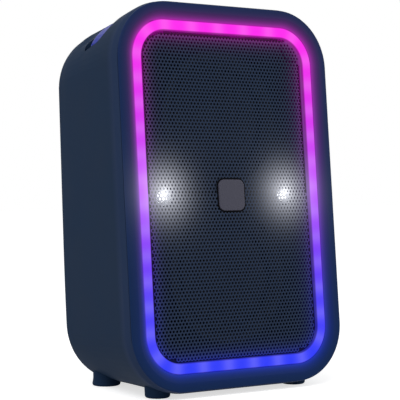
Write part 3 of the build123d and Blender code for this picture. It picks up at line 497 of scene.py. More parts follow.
# How a finish is made, its colour (a setting's name, or the colour itself), its roughness, and
# what differs from the ordinary.
FINISHES = {
    CABINET: (moulded, "cabinet", 0.6, dict(grain=1100.0, depth=6e-5, shine=0.02)),
    BLACK: (moulded, "black", 0.48, dict(grain=1000.0, shine=0.2)),
    RUBBER: (moulded, "rubber", 0.7, dict(grain=800.0, depth=7e-5, shine=0.03)),
    GRIP: (moulded, "grip", 0.3, dict(grain=1500.0, depth=1e-5, contrast=0.05, shine=0.08,
                                      Coat_Weight=0.03, Coat_Roughness=0.15)),
    "grille powder coat": (moulded, "grille", 0.5, dict(
        grain=2400.0, depth=3e-5, shine=0.06, glow=(1.5, 0.3, 0.005))),
    "bezel satin navy": (moulded, "bezel", 0.42, dict(
        grain=1600.0, depth=2e-5, contrast=0.06, shine=0.04, glow=(1.5, 0.38, 0.0036))),
    "baffle black": (moulded, "shadow", 0.6, dict(
        grain=700.0, shine=0.05, glow=(0.6, 0.05, 0.006))),
    "badge charcoal": (moulded, "badge", 0.34, dict(
        grain=2200.0, depth=1e-5, contrast=0.05, shine=0.25)),
    # Painted shade: the strip round the badge stands for the shaded gap there.
    "badge seal": (moulded, "shadow", 0.7, dict(shine=0.03)),
    "button silicone": (moulded, "buttons", 0.55, dict(grain=1500.0, depth=3e-5, shine=0.3)),
    "sign ink": (moulded, "signs", 0.5, dict(grain=2000.0, depth=1e-5, contrast=0.05, shine=0.2)),
    "basket black": (moulded, "black", 0.55, dict(shine=0.3)),
    "battery sleeve": (moulded, "sleeve", 0.3, dict(grain=200.0, Coat_Weight=0.3)),
    "surround rubber": (moulded, (0.006, 0.006, 0.008), 0.6, dict(grain=1200.0, shine=0.3)),
    "black oxide steel": (moulded, (0.006, 0.006, 0.007), 0.55, dict(grain=1800.0, shine=0.1)),
    "zinc-plated steel": (brushed, (0.5, 0.5, 0.52), 0.32, {}),
    "cast aluminium": (brushed, (0.62, 0.63, 0.65), 0.38, {}),
    "mirror reflector": (brushed, (0.3, 0.31, 0.33), 0.2, {}),
    "magnet steel": (brushed, (0.12, 0.12, 0.13), 0.42, {}),
    "copper winding": (brushed, (0.72, 0.34, 0.16), 0.34, dict(scale=900.0, stretch=(1, 30, 1))),
}
# Where the painted highlight on the cabinet's lip begins and is complete, from the ring's face
# outwards.
LIP_HIGHLIGHT_FROM, LIP_HIGHLIGHT_TO, LIP_HIGHLIGHT_SHARE = -0.019, -0.009, 0.85


def finish(name, colours):
    """A finish from the list, made once and shared; the cabinet's has a painted highlight along its
    lip.
    """
    if name not in bpy.data.materials:
        make, colour, roughness, more = FINISHES[name]
        colour = getattr(colours, colour) if isinstance(colour, str) else colour
        tree, shader = make(name, colour, roughness, **more)
        if name == CABINET:
            # Painted highlight: the cabinet's colour turns lighter towards its front lip.
            base, out = shader.inputs["Base Color"], apart(tree, leaning_place(tree))["Z"]
            lip_highlight = remap(tree, out, LIP_HIGHLIGHT_FROM, LIP_HIGHLIGHT_TO, 0.0, LIP_HIGHLIGHT_SHARE)
            wire(tree, base, mixed(tree, lip_highlight, base.links[0].from_socket, opaque(colours.lip_highlight)))
    return bpy.data.materials[name]


# How far the ring's bright spots turn to their own near-white, how far in from its edges it is
# dimmed, and the light that is left at the edges.
SPOT_SHARE, SPOT_LIGHT = 0.12, (0.9, 0.8, 1.0)
EDGE_REACH, EDGE_LIGHT = 0.0011, 0.3


def finish_ring():
    """Milky diffuser, brighter in front of each lamp and dim at its rounded edges."""
    made, tree, shader = new_finish("ring diffuser", Roughness=0.5, Specular_IOR_Level=0.02)
    place = leaning_place(tree)
    light = use_group(tree, "Ring colour", {"Up": apart(tree, place)["Y"]})["Colour"]
    spot = put(tree, "Attribute", attribute_name="spot").outputs["Fac"]
    light = mixed(tree, maths(tree, "MULTIPLY", spot, SPOT_SHARE), light, opaque(SPOT_LIGHT))
    inside = use_group(tree, "Ring glow")["Distance"]
    dimming = remap(tree, inside, -EDGE_REACH, 0.0, 1.0, EDGE_LIGHT)
    light = mixed(tree, dimming, (0, 0, 0, 1), light)
    haze = use_group(tree, "Strobe glow", {"Strength": 1.6})["Colour"]
    lit(tree, shader, vectors(tree, "ADD", light, haze))
    surface(tree, shader, noise(tree, place, 260.0), (0.004, 0.003, 0.006), (0.02, 0.015, 0.03))
    return made


def finish_glowing(name, colour, strength):
    """A lamp's lit face, faintly mottled."""
    made, tree, shader = new_finish(name, Roughness=0.35)
    mottle = noise(tree, object_place(tree), 1200.0)
    light = mixed(tree, mottle, opaque(toned(colour, 0.8)), opaque(colour))
    wire(tree, shader.inputs["Base Color"], light)
    lit(tree, shader, light, strength)
    return made


# Distances from a strobe lens's centre up to which it is fully lit, and past which it is dim.
LENS_LIT, LENS_DIM = 0.003, 0.0065


def finish_lens():
    """Clear moulded lens with faint mould flow in it, lit in its middle."""
    made, tree, shader = new_finish("strobe lens", Transmission_Weight=0.9, IOR=1.49)
    flow = noise(tree, object_place(tree), 300.0)
    surface(tree, shader, flow, (0.9, 0.94, 1), (1, 1, 1), (0.02, 0.12))
    away = maths(tree, "MINIMUM", *strobe_distances(tree, Vector()))
    lit(tree, shader, grey(tree, remap(tree, away, LENS_LIT, LENS_DIM, 1.0, 0.1)), 0.8)
    return made


def finish_board():
    """Solder mask with tracks that run under it."""
    made, tree, shader = new_finish("solder mask", Specular_IOR_Level=0.5)
    black, white = (0, 0, 0, 1), (1, 1, 1, 1)
    tracks = put(tree, "TexBrick", {
        "Vector": leaning_place(tree), "Scale": 260.0, "Mortar Size": 0.08, "Mortar Smooth": 0.3,
        "Color1": black, "Color2": black, "Mortar": white}).outputs
    surface(tree, shader, tracks["Color"], (0.008, 0.07, 0.035), (0.02, 0.14, 0.07))
    wire(tree, shader.inputs["Roughness"], remap(tree, tracks["Fac"], 0.0, 1.0, 0.38, 0.3))
    bumped(tree, shader, tracks["Fac"], 0.00005, 0.5)
    return made


def finish_cloth():
    """Resin-treated cloth of the spiders, woven square."""
    made, tree, shader = new_finish("spider cloth", Roughness=0.85, Specular_IOR_Level=0.15)
    threads = {"Vector": leaning_place(tree), "Scale": 420.0}
    warp, weft = (put(tree, "TexWave", threads, bands_direction=way).outputs["Fac"] for way in "XY")
    weave = maths(tree, "MULTIPLY", warp, weft)
    surface(tree, shader, weave, (0.13, 0.075, 0.025), (0.36, 0.23, 0.09))
    bumped(tree, shader, weave, 0.0001, 0.7)
    return made


def finish_paper():
    """Coated paper of the cones, with pressed fibres."""
    made, tree, shader = new_finish("cone paper", Specular_IOR_Level=0.3)
    fibres = noise(tree, object_place(tree), 500.0, 6.0, Roughness=0.75, Distortion=1.5)
    surface(tree, shader, fibres, (0.006, 0.006, 0.008), (0.03, 0.03, 0.036), (0.55, 0.8))
    bumped(tree, shader, fibres, 0.0001, 0.6)
    lit(tree, shader, use_group(tree, "Strobe glow", {"Strength": 0.8})["Colour"])
    return made


def dress(material, *patterns):
    """Gives the CAD nodes that patterns name a finish, through their objects' own slots."""
    for pattern in patterns:
        parts = [NODES[name] for name in sorted(NODES) if fnmatch(name, pattern)]
        if not parts or not all(part.material_slots for part in parts):
            raise RuntimeError(f"no node, or no material slot to fill, for {pattern}")
        for place in (place for part in parts for place in part.material_slots):
            place.link = "OBJECT"
            place.material = material


# ---- modelling
# Vertices of a CAD node that lie this close together are one.
SAME_PLACE = 1e-6
# The corners of neighbouring grille cells meet within this share of the pitch, and the jagged
# edge at the badge lies within this many times the badge's reach.
CELL_SLACK, BADGE_NEAR = 0.02, 1.5


def finished_piece(name, mesh, material, body, smooth=None):
    """Turns a bmesh into a piece that rides on a CAD body, smooth up to an angle in degrees."""
    data = bpy.data.meshes.new(name)
    mesh.to_mesh(data)
    mesh.free()
    piece = bpy.data.objects.new(name, data)
    bpy.context.scene.collection.objects.link(piece)
    data.materials.append(material)
    if smooth is not None:
        data.shade_smooth()
        data.set_sharp_from_angle(angle=math.radians(smooth))
    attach(piece, body)
    return piece


def evened(piece):
    """Shades a piece's flat faces flat, and only its roundings round."""
    piece.modifiers.new("weighted normals", "WEIGHTED_NORMAL").keep_sharp = True


def rounded_plate(mesh, width, height, corner, segments):
    """One flat rounded-rectangle face round the origin, facing +z."""
    made = bmesh.ops.create_grid(mesh, x_segments=1, y_segments=1, size=0.5)
    bmesh.ops.scale(mesh, vec=(width, height, 1), verts=made["verts"])
    bmesh.ops.bevel(mesh, geom=made["verts"], offset=corner, offset_type="OFFSET",
                    segments=segments, profile=0.5, affect="VERTICES", material=-1)
    face = mesh.faces[:][0]
    if face.normal.z < 0:
        bmesh.ops.reverse_faces(mesh, faces=[face])


def frame_of(plate, width):
    """Leaves a band along a flat plate's outline, and removes its middle."""
    made = bmesh.ops.inset_region(plate, faces=plate.faces[:], thickness=width,
                                  use_boundary=True, use_even_offset=True)
    band = set(made["faces"])
    middle = [face for face in plate.faces if face not in band]
    bmesh.ops.delete(plate, geom=middle, context="FACES_ONLY")


def inside_outline(x, y, half_width, half_height, corner):
    """Distance inside a rounded rectangle round the origin, negative outside it."""
    past_x, past_y = abs(x) - half_width + corner, abs(y) - half_height + corner
    outside = math.hypot(max(past_x, 0), max(past_y, 0))
    return corner - outside - min(max(past_x, past_y), 0)


def hole_cell(pitch, hole):
    """One hexagonal cell of the grille: a face round a twelve-sided hole, still filled."""
    cell = bmesh.new()
    bmesh.ops.create_circle(cell, cap_ends=True, segments=6, radius=pitch / math.sqrt(3))
    bmesh.ops.bisect_edges(cell, edges=cell.edges[:], cuts=1)
    outer = set(cell.verts)
    bmesh.ops.inset_individual(cell, faces=cell.faces[:], thickness=(pitch - hole) / 2,
                               use_even_offset=True)
    for vert in cell.verts:
        if vert not in outer:
            vert.co = vert.co.normalized() * hole / 2
    return cell


def perforated_sheet(sizes):
    """The whole flat grille, one face thick, with open holes; also its rows' distance."""
    low, high = front_box("grille")
    half = (high - low) / 2
    badge_low, badge_high = front_box("badge")
    badge = (badge_high - badge_low) / 2
    pitch, hole = sizes.hole_pitch, sizes.hole_size
    row = pitch * math.sqrt(3) / 2
    rows, columns = int(half.y / row) + 1, int(half.x / pitch) + 1
    inset = hole / 2 + sizes.grille_border
    under_badge = hole / 2 - sizes.gap_shade_width
    cell, sheet = hole_cell(pitch, hole), bmesh.new()
    stamp = bpy.data.meshes.new("grille cell")
    for row_number in range(-rows, rows + 1):
        y = row_number * row
        for column in range(-columns, columns + 1):
            x = (column + 0.5 * (row_number % 2)) * pitch
            if inside_outline(x, y, half.x, half.y, sizes.grille_corner) < inset:
                continue
            if inside_outline(x, y, badge.x, badge.y, BADGE_CORNER) > under_badge:
                continue
            bmesh.ops.translate(cell, vec=(x, y, 0), verts=cell.verts)
            cell.to_mesh(stamp)
            sheet.from_mesh(stamp)
            bmesh.ops.translate(cell, vec=(-x, -y, 0), verts=cell.verts)
    cell.free()
    bpy.data.meshes.remove(stamp)
    bmesh.ops.remove_doubles(sheet, verts=sheet.verts, dist=pitch * CELL_SLACK)
    fill_border(sheet, half, sizes.grille_corner, BADGE_NEAR * max(badge.x, badge.y))
    filled = [face for face in sheet.faces if len(face.verts) == 12]
    bmesh.ops.delete(sheet, geom=filled, context="FACES_ONLY")
    return sheet, row


def fill_border(sheet, half, corner, near):
    """Fills the plain metal out to the outline, and near the middle, where the badge lies."""
    jagged = [edge for edge in sheet.edges if edge.is_boundary]
    inner = [e for e in jagged if max(abs(e.verts[0].co.x), abs(e.verts[0].co.y)) < near]
    outer = [e for e in jagged if e not in inner]
    bmesh.ops.triangle_fill(sheet, use_beauty=True, edges=inner, normal=(0, 0, 1))
    rim = bmesh.new()
    rounded_plate(rim, 2 * half.x, 2 * half.y, corner, segments=16)
    bmesh.ops.delete(rim, geom=rim.faces[:], context="FACES_ONLY")
    outline = bpy.data.meshes.new("grille outline")
    rim.to_mesh(outline)
    rim.free()
    known = set(sheet.edges)
    sheet.from_mesh(outline)
    bpy.data.meshes.remove(outline)
    fresh = [edge for edge in sheet.edges if edge not in known]
    bmesh.ops.triangle_fill(sheet, use_beauty=True, edges=outer + fresh, normal=(0, 0, 1))


def thickened(sheet, front, back):
    """Gives a flat sheet its thickness, from its front face down to its back."""
    bmesh.ops.recalc_face_normals(sheet, faces=sheet.faces)
    if sheet.faces[:][0].normal.z < 0:
        bmesh.ops.reverse_faces(sheet, faces=sheet.faces)
    bmesh.ops.translate(sheet, vec=(0, 0, front), verts=sheet.verts)
    bmesh.ops.solidify(sheet, geom=sheet.faces[:], thickness=front - back)
    highest = max(vert.co.z for vert in sheet.verts)
    bmesh.ops.translate(sheet, vec=(0, 0, front - highest), verts=sheet.verts)
    bmesh.ops.transform(sheet, matrix=FRONT, verts=sheet.verts)


def lamp_places():
    """Centres of the ring's lamps in the leaning front's frame."""
    lamps = bmesh.new()
    lamps.from_mesh(NODES["leds"].data)
    bmesh.ops.remove_doubles(lamps, verts=lamps.verts, dist=SAME_PLACE)
    seen, places = set(), []
    for first in lamps.verts:
        if first in seen:
            continue
        seen.add(first)
        lamp = [first]
        for vert in lamp:
            others = [edge.other_vert(vert) for edge in vert.link_edges]
            fresh = [other for other in others if other not in seen]
            seen.update(fresh)
            lamp += fresh
        middle = sum((vert.co for vert in lamp), Vector()) / len(lamp)
        places.append(FRONT.inverted() @ middle)
    lamps.free()
    return places


# Edges of the ring longer than RING_LONG are cut about every RING_STEP, and its front edges that
# turn by more than RIM_TURN, in radians, are rounded.
RING_LONG, RING_STEP, RIM_TURN = 0.01, 0.0035, 1.0


def ring_mesh(sizes):
    """The light ring's diffuser: a rounded band with a wall down each side."""
    low, high = front_box("light_diffuser")
    ring = bmesh.new()
    rounded_plate(ring, high.x - low.x, high.y - low.y, sizes.ring_corner, segments=20)
    for edge in [edge for edge in ring.edges if edge.calc_length() > RING_LONG]:
        bmesh.ops.bisect_edges(ring, edges=[edge], cuts=int(edge.calc_length() / RING_STEP))
    frame_of(ring, sizes.ring_band)
    loose = [edge for edge in ring.edges if not edge.link_faces]
    bmesh.ops.delete(ring, geom=loose, context="EDGES")
    back = bmesh.ops.extrude_face_region(ring, geom=ring.faces[:], use_keep_orig=True)
    moved = [item for item in back["geom"] if isinstance(item, bmesh.types.BMVert)]
    bmesh.ops.translate(ring, vec=(0, 0, low.z), verts=moved)
    bmesh.ops.recalc_face_normals(ring, faces=ring.faces)
    front = [edge for edge in ring.edges
             if all(abs(vert.co.z) < SAME_PLACE for vert in edge.verts)]
    rim = [edge for edge in front if edge.calc_face_angle(0) > RIM_TURN]
    bmesh.ops.bevel(ring, geom=rim, offset=sizes.ring_round, offset_type="OFFSET", segments=3,
                    profile=0.5, affect="EDGES", material=-1)
    rear = [face for face in ring.faces if face.normal.z < -0.9]
    bmesh.ops.inset_region(ring, faces=rear, thickness=sizes.ring_leg, use_even_offset=True)
    hollow = {vert for face in rear for vert in face.verts}
    bmesh.ops.translate(ring, vec=(0, 0, -low.z - sizes.ring_skin), verts=list(hollow))
    return ring


# ---- the cabinet's rounder form
# Where the cabinet's mesh is cut so that it can bend, from the front's centre.
SIDE_CUTS = [0.055 + 0.0055 * step for step in range(14)]
CORNER_CUTS = [0.115 + 0.0062 * step for step in range(14)]
MIDDLE_CUTS = [0.02 * step for step in range(-5, 6)]
DEPTH_CUTS = [-0.01 - 0.0055 * step for step in range(26)]
GRIP_CUTS = [0.004 * step for step in range(30)]

# A corner's change of radius grows over these shares of the way out to its face, and over this
# height above the floor, so that the inside and the feet's rests stay where they are.
WALL_FROM, WALL_TO = 0.5, 0.75
FLOOR_BLEND = 0.005
# The rim is eased between these depths from the rim's own, distances to the side, and heights.
EASED_DEPTHS = (-0.006, 0.0, 0.01, 0.03)
EASED_SIDES = (0.084, 0.094, 0.108, 0.118)
EASED_HEIGHTS = (0.15, 0.165)
# The back comes forward from this depth on, and bends over this height.
BACK_FROM = 0.117
BEND_REACH = 0.04
# The grip's outer face rises over this much of its height, its front edge by this share, and
# whole from this share of the way to its rear.
GRIP_RISE = (0.004, 0.014)
GRIP_FRONT_SHARE = 0.25
GRIP_FULL_FROM = 0.7


def rise(value, low, high):
    """A smooth step from 0, up to the low value, to 1, from the high value on."""
    held = min(max((value - low) / (high - low), 0.0), 1.0)
    return held * held * (3 - 2 * held)


def hump(value, start, full, ebb, end):
    """A smooth rise from 0 to 1, and later back to 0."""
    return rise(value, start, full) * (1 - rise(value, ebb, end))


def bare_copy(name):
    """A merged copy of a CAD node's mesh, moved into the leaning front's frame."""
    bare = NODES[name].data.copy()
    if "custom_normal" in bare.attributes:
        bare.attributes.remove(bare.attributes["custom_normal"])
    form = bmesh.new()
    form.from_mesh(bare)
    bpy.data.meshes.remove(bare)
    bmesh.ops.remove_doubles(form, verts=form.verts, dist=SAME_PLACE)
    bmesh.ops.transform(form, matrix=FRONT.inverted(), verts=form.verts)
    return form


def bisected(mesh, normal, places):
    """Cuts a mesh along parallel planes at some distances from the origin."""
    for at in places:
        bmesh.ops.bisect_plane(mesh, geom=mesh.verts[:] + mesh.edges[:] + mesh.faces[:], dist=1e-7,
                               plane_co=Vector(normal) * at, plane_no=normal)


def on_both_sides(places):
    """The same distances to the negative side, and then to the positive one."""
    return [side * at for side in (-1, 1) for at in places]


def rounder_corner(place, height, sizes, half):
    """Across and up for a cabinet's point, with corners that keep their radius to the back."""
    depth = -place.z
    narrower = max(depth - sizes.lip_depth, 0.0) * SHRINK
    sharp = sizes.lip_corner - narrower
    full = max(sharp, sizes.back_corner)
    inner = Vector((half.x - narrower - full, half.y - narrower - full))
    out = Vector((abs(place.x), abs(place.y))) - inner
    if min(out) <= 0:
        return place.x, place.y
    along, wider = out.normalized(), full - sharp
    shift = wider * (along.x + along.y)
    arc = shift + math.sqrt(max(shift * shift - 2 * wider * wider + sharp * sharp, 0.0))
    drafted = arc if min(along) * arc > wider else full / max(along)
    hold = rise(out.length / drafted, WALL_FROM, WALL_TO) * rise(height, 0.0, FLOOR_BLEND)
    eased = (sizes.rim_ease * hump(depth - sizes.rim_depth, *EASED_DEPTHS)
             * hump(abs(place.x), *EASED_SIDES) * rise(place.y, *EASED_HEIGHTS))
    moved = inner + along * (out.length - (drafted - full + eased) * hold)
    return math.copysign(moved.x, place.x), math.copysign(moved.y, place.y)


def straighter_back(place, sizes, depth):
    """How far a point comes forward when the upper back leans less."""
    above = (place.y - sizes.back_bend) / BEND_REACH
    bent = max(above, 0.0) if abs(above) >= 1 else (above + 1) ** 2 / 4
    behind = rise(-place.z, BACK_FROM, depth - REAR_EDGE)
    return math.tan(sizes.back_turn) * bent * BEND_REACH * behind


def reshaped(name, sizes, back_too):
    """A merged copy of a CAD node in the cabinet's rounder form."""
    low, high = front_box("cabinet_shell")
    form = bare_copy(name)
    bisected(form, (1, 0, 0), on_both_sides(SIDE_CUTS))
    bisected(form, (0, 1, 0), on_both_sides(CORNER_CUTS) + MIDDLE_CUTS)
    bisected(form, (0, 0, 1), DEPTH_CUTS)
    for vert in form.verts:
        place = vert.co.copy()
        height = (FRONT @ place).z
        vert.co.x, vert.co.y = rounder_corner(place, height, sizes, (high - low) / 2)
        if back_too:
            vert.co.z += straighter_back(place, sizes, -low.z)
    bmesh.ops.transform(form, matrix=FRONT, verts=form.verts)
    return form


def fuller_grip(sizes):
    """A merged copy of the grip whose outer face follows the cabinet's outline."""
    shell_low, shell_high = front_box("cabinet_shell")
    low, high = front_box("handle_grip")
    narrower = (-(low.z + high.z) / 2 - sizes.lip_depth) * SHRINK
    half = (shell_high - shell_low) / 2
    straight = half.x - narrower - sizes.back_corner
    centre = half.y - narrower - sizes.back_corner
    full = sizes.back_corner - sizes.grip_gap
    grip = bare_copy("handle_grip")
    bisected(grip, (1, 0, 0), on_both_sides(GRIP_CUTS))
    for vert in grip.verts:
        across = abs(vert.co.x)
        past = max(across - high.x + GRIP_CORNER, 0.0)
        outer = high.y - GRIP_CORNER + math.sqrt(max(GRIP_CORNER ** 2 - past * past, 0.0))
        beyond = max(across - straight, 0.0)
        wanted = centre + math.sqrt(full * full - beyond * beyond)
        risen = rise(vert.co.y - low.y, *GRIP_RISE)
        back = (high.z - vert.co.z) / (high.z - low.z)
        share = GRIP_FRONT_SHARE + (1 - GRIP_FRONT_SHARE) * rise(back, 0.0, GRIP_FULL_FROM)
        vert.co.y += (wanted - outer) * risen * share
        vert.co.z -= sizes.grip_reach * back
    bmesh.ops.transform(grip, matrix=FRONT, verts=grip.verts)
    return grip


# ---- button signs
def button_top(name):
    """The frame on top of a button: across, to the rear, and out of the top."""
    across, rear = sum(reach(name, ACROSS)) / 2, sum(reach(name, TOP_REAR)) / 2
    centre = ACROSS * across + TOP_REAR * rear + TOP_NORMAL * reach(name, TOP_NORMAL)[1]
    turn = Matrix((ACROSS, TOP_REAR, TOP_NORMAL)).transposed().to_4x4()
    return Matrix.Translation(centre) @ turn


def draw_bar(mesh, start, end, stroke):
    """A straight line of a sign, as one flat face."""
    start, end = Vector(start), Vector(end)
    run = end - start
    made = bmesh.ops.create_grid(mesh, x_segments=1, y_segments=1, size=0.5)["verts"]
    bmesh.ops.scale(mesh, vec=(run.length, stroke, 1), verts=made)
    bmesh.ops.rotate(mesh, cent=(0, 0, 0), verts=made,
                     matrix=Matrix.Rotation(math.atan2(run.y, run.x), 3, "Z"))
    bmesh.ops.translate(mesh, vec=(*(start + end) / 2, 0), verts=made)


def draw_arc(mesh, centre, radius, start, sweep, stroke):
    """A curved line of a sign, as a strip of flat faces, with its angles in degrees."""
    towards = Vector((math.cos(math.radians(start)), math.sin(math.radians(start)), 0))
    ends = [mesh.verts.new(Vector((*centre, 0)) + towards * (radius + side * stroke / 2))
            for side in (-1, 1)]
    line = mesh.edges.new(ends)
    bmesh.ops.spin(mesh, geom=ends + [line], cent=(*centre, 0), axis=(0, 0, 1),
                   angle=math.radians(sweep), steps=20)


def draw_dot(mesh, centre, radius, sides):
    """A filled round or cornered spot of a sign."""
    made = bmesh.ops.create_circle(mesh, cap_ends=True, segments=sides, radius=radius)["verts"]
    bmesh.ops.translate(mesh, vec=(*centre, 0), verts=made)


def draw_power(mesh, stroke):
    """An open circle with a bar in its gap."""
    draw_arc(mesh, (0, 0), 0.0028, 128, 284, stroke)
    draw_bar(mesh, (0, 0.0008), (0, 0.0036), stroke)


def draw_pairing(mesh, stroke):
    """A dot with two waves that leave it."""
    source = (-0.0024, 0)
    draw_dot(mesh, source, 0.0008, 16)
    for radius in (0.0024, 0.0044):
        draw_arc(mesh, source, radius, -42, 84, stroke)


def draw_light(mesh, stroke):
    """A dot with eight thin rays."""
    draw_dot(mesh, (0, 0), 0.0013, 20)
    for step in range(8):
        towards = Vector((math.cos(step * math.pi / 4), math.sin(step * math.pi / 4)))
        draw_bar(mesh, towards * 0.0021, towards * 0.0035, stroke * 0.8)


def draw_minus(mesh, stroke):
    """One bar across."""
    draw_bar(mesh, (-0.0026, 0), (0.0026, 0), stroke)


def draw_plus(mesh, stroke):
    """One bar across, and one above and one below it."""
    draw_minus(mesh, stroke)
    draw_bar(mesh, (0, stroke / 2), (0, 0.0026), stroke)
    draw_bar(mesh, (0, -0.0026), (0, -stroke / 2), stroke)


def draw_play(mesh, stroke):
    """A triangle and two upright bars."""
    draw_dot(mesh, (-0.0018, 0), 0.0022, 3)
    for across in (0.0012, 0.003):
        draw_bar(mesh, (across, -0.0019), (across, 0.0019), stroke)


def raised(sign, thickness, place):
    """Gives a flat sign its thickness and sets it on its button."""
    for face in sign.faces:
        face.normal_update()
    turned = [face for face in sign.faces if face.normal.z < 0]
    bmesh.ops.reverse_faces(sign, faces=turned)
    made = bmesh.ops.extrude_face_region(sign, geom=sign.faces[:], use_keep_orig=True)
    lifted = [item for item in made["geom"] if isinstance(item, bmesh.types.BMVert)]
    bmesh.ops.translate(sign, vec=(0, 0, thickness), verts=lifted)
    bmesh.ops.recalc_face_normals(sign, faces=sign.faces)
    bmesh.ops.transform(sign, matrix=place, verts=sign.verts)


# ---- operators
SIGNS = {"button_power": draw_power, "button_pairing": draw_pairing, "button_light": draw_light,
         "button_volume_down": draw_minus, "button_play": draw_play, "button_volume_up": draw_plus}
# The CAD nodes, or patterns of their names, that each finish goes on.
OUTER_FINISHES = {
    CABINET: ["cabinet_shell", "handle_well", "socket_bay"],
    "bezel satin navy": ["front_bezel"],
    "badge charcoal": ["badge"],
    GRIP: ["handle_grip"],
    RUBBER: ["foot_front_*", "foot_rear_*", "port_cover"],
    BLACK: ["control_panel", "port_tube", "battery_tray", "button_switches"],
    "baffle black": ["front_baffle"],
    "button silicone": list(SIGNS),
}
INNER_FINISHES = {
    "zinc-plated steel": ["grip_screws", "amplifier_screws", "foot_screws", "usb_socket",
                          "aux_jack"],
    "cast aluminium": ["heat_sink", "capacitors"],
    "black oxide steel": ["baffle_screws", "woofer_screws"],
    "battery sleeve": ["battery_pack"],
    "basket black": ["woofer_*_frame"],
    "surround rubber": ["woofer_*_surround"],
    "magnet steel": ["woofer_*_magnet"],
    "copper winding": ["woofer_*_voice_coil"],
    "mirror reflector": ["strobe_*_reflector"],
}
# The CAD nodes built anew in the rounder form: node, piece, finish, slot, and whether its back
# leans less.
RESHAPED = [
    ("cabinet_shell", "cabinet_form", CABINET, "cabinet_plastic", True),
    ("handle_well", "well_form", CABINET, "cabinet_plastic", False),
    ("control_panel", "panel_form", BLACK, "black_plastic", False),
    ("port_tube", "port_form", BLACK, "black_plastic", True),
    ("foot_rear_left", "foot_form_left", RUBBER, "rubber", False),
    ("foot_rear_right", "foot_form_right", RUBBER, "rubber", False),
]


class SPEAKER_OT_grille(bpy.types.Operator):
    """Build the perforated grille in two halves, in place of the plain sheet"""

    bl_idname = "speaker.grille"
    bl_label = "Grille"

    def execute(self, context):
        sizes, colours = prepared(context)
        material = finish("grille powder coat", colours)
        low, high = front_box("grille")
        whole, row = perforated_sheet(sizes)
        for name, keeps_upper in (("grille_upper", True), ("grille_lower", False)):
            half = whole.copy()
            bmesh.ops.bisect_plane(
                half, geom=half.verts[:] + half.edges[:] + half.faces[:], dist=1e-6,
                plane_co=(0, row / 2, 0), plane_no=(0, 1, 0),
                clear_inner=keeps_upper, clear_outer=not keeps_upper)
            thickened(half, high.z, low.z)
            piece = finished_piece(name, half, material, ROOT)
            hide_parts("grille")
        whole.free()
        return {"FINISHED"}


class SPEAKER_OT_light_ring(bpy.types.Operator):
    """Build the light ring's diffuser with a bright spot in front of each lamp"""

    bl_idname = "speaker.light_ring"
    bl_label = "Light ring"

    def execute(self, context):
        sizes, _ = prepared(context)
        ring = ring_mesh(sizes)
        lamps = lamp_places()
        if len(lamps) < 2:
            raise RuntimeError("the light strip has no lamps to light the ring")
        layer = ring.verts.layers.float.new("spot")
        for vert in ring.verts:
            nearest = min((vert.co.xy - lamp.xy).length for lamp in lamps)
            vert[layer] = math.exp(-((nearest / sizes.spot_size) ** 2))
        bmesh.ops.transform(ring, matrix=FRONT, verts=ring.verts)
        piece = finished_piece("light_ring", ring, finish_ring(), ROOT, smooth=40)
        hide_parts("light_diffuser")
        return {"FINISHED"}


class SPEAKER_OT_badge_gap_shade(bpy.types.Operator):
    """Build the thin dark strip of painted shade that stands for the gap round the badge"""

    bl_idname = "speaker.badge_seal"
    bl_label = "Badge seal"

    def execute(self, context):
        sizes, colours = prepared(context)
        low, high = front_box("badge")
        sheet_front = front_box("grille")[1].z
        width = sizes.gap_shade_width
        # The strip is painted shade in the gap round the badge.
        shade_strip = bmesh.new()
        rounded_plate(shade_strip, high.x - low.x + 2 * width, high.y - low.y + 2 * width,
                      BADGE_CORNER + width, segments=8)
        frame_of(shade_strip, width)
        thickened(shade_strip, sheet_front + sizes.gap_shade_rise, sheet_front)
        finished_piece("badge_seal", shade_strip, finish("badge seal", colours), ROOT)
        return {"FINISHED"}


class SPEAKER_OT_cabinet_finish(bpy.types.Operator):
    """Give the cabinet, bezel, badge, grip, feet and rear pieces their finishes"""

    bl_idname = "speaker.cabinet_finish"
    bl_label = "Cabinet finishes"

    def execute(self, context):
        _, colours = prepared(context)
        for name, patterns in OUTER_FINISHES.items():
            dress(finish(name, colours), *patterns)
        return {"FINISHED"}


class SPEAKER_OT_cabinet_form(bpy.types.Operator):
    """Build the cabinet and the grip with fuller rear corners and a straighter back"""

    bl_idname = "speaker.cabinet_form"
    bl_label = "Cabinet form"

    def execute(self, context):
        sizes, colours = prepared(context)
        for node, name, look, slot, back_too in RESHAPED:
            form = reshaped(node, sizes, back_too)
            piece = finished_piece(name, form, finish(look, colours), ROOT, smooth=30)
            evened(piece)
            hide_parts(node)
        grip, look = fuller_grip(sizes), finish(GRIP, colours)
        piece = finished_piece("grip_form", grip, look, ROOT, smooth=40)
        evened(piece)
        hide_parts("handle_grip")
        return {"FINISHED"}


class SPEAKER_OT_signs(bpy.types.Operator):
    """Raise a plain sign on each of the six buttons"""

    bl_idname = "speaker.signs"
    bl_label = "Button signs"

    def execute(self, context):
        sizes, colours = prepared(context)
        for name, draw in SIGNS.items():
            sign = bmesh.new()
            draw(sign, sizes.sign_stroke)
            raised(sign, sizes.sign_rise, button_top(name))
            finished_piece(f"{name}_sign", sign, finish("sign ink", colours), name)
        return {"FINISHED"}


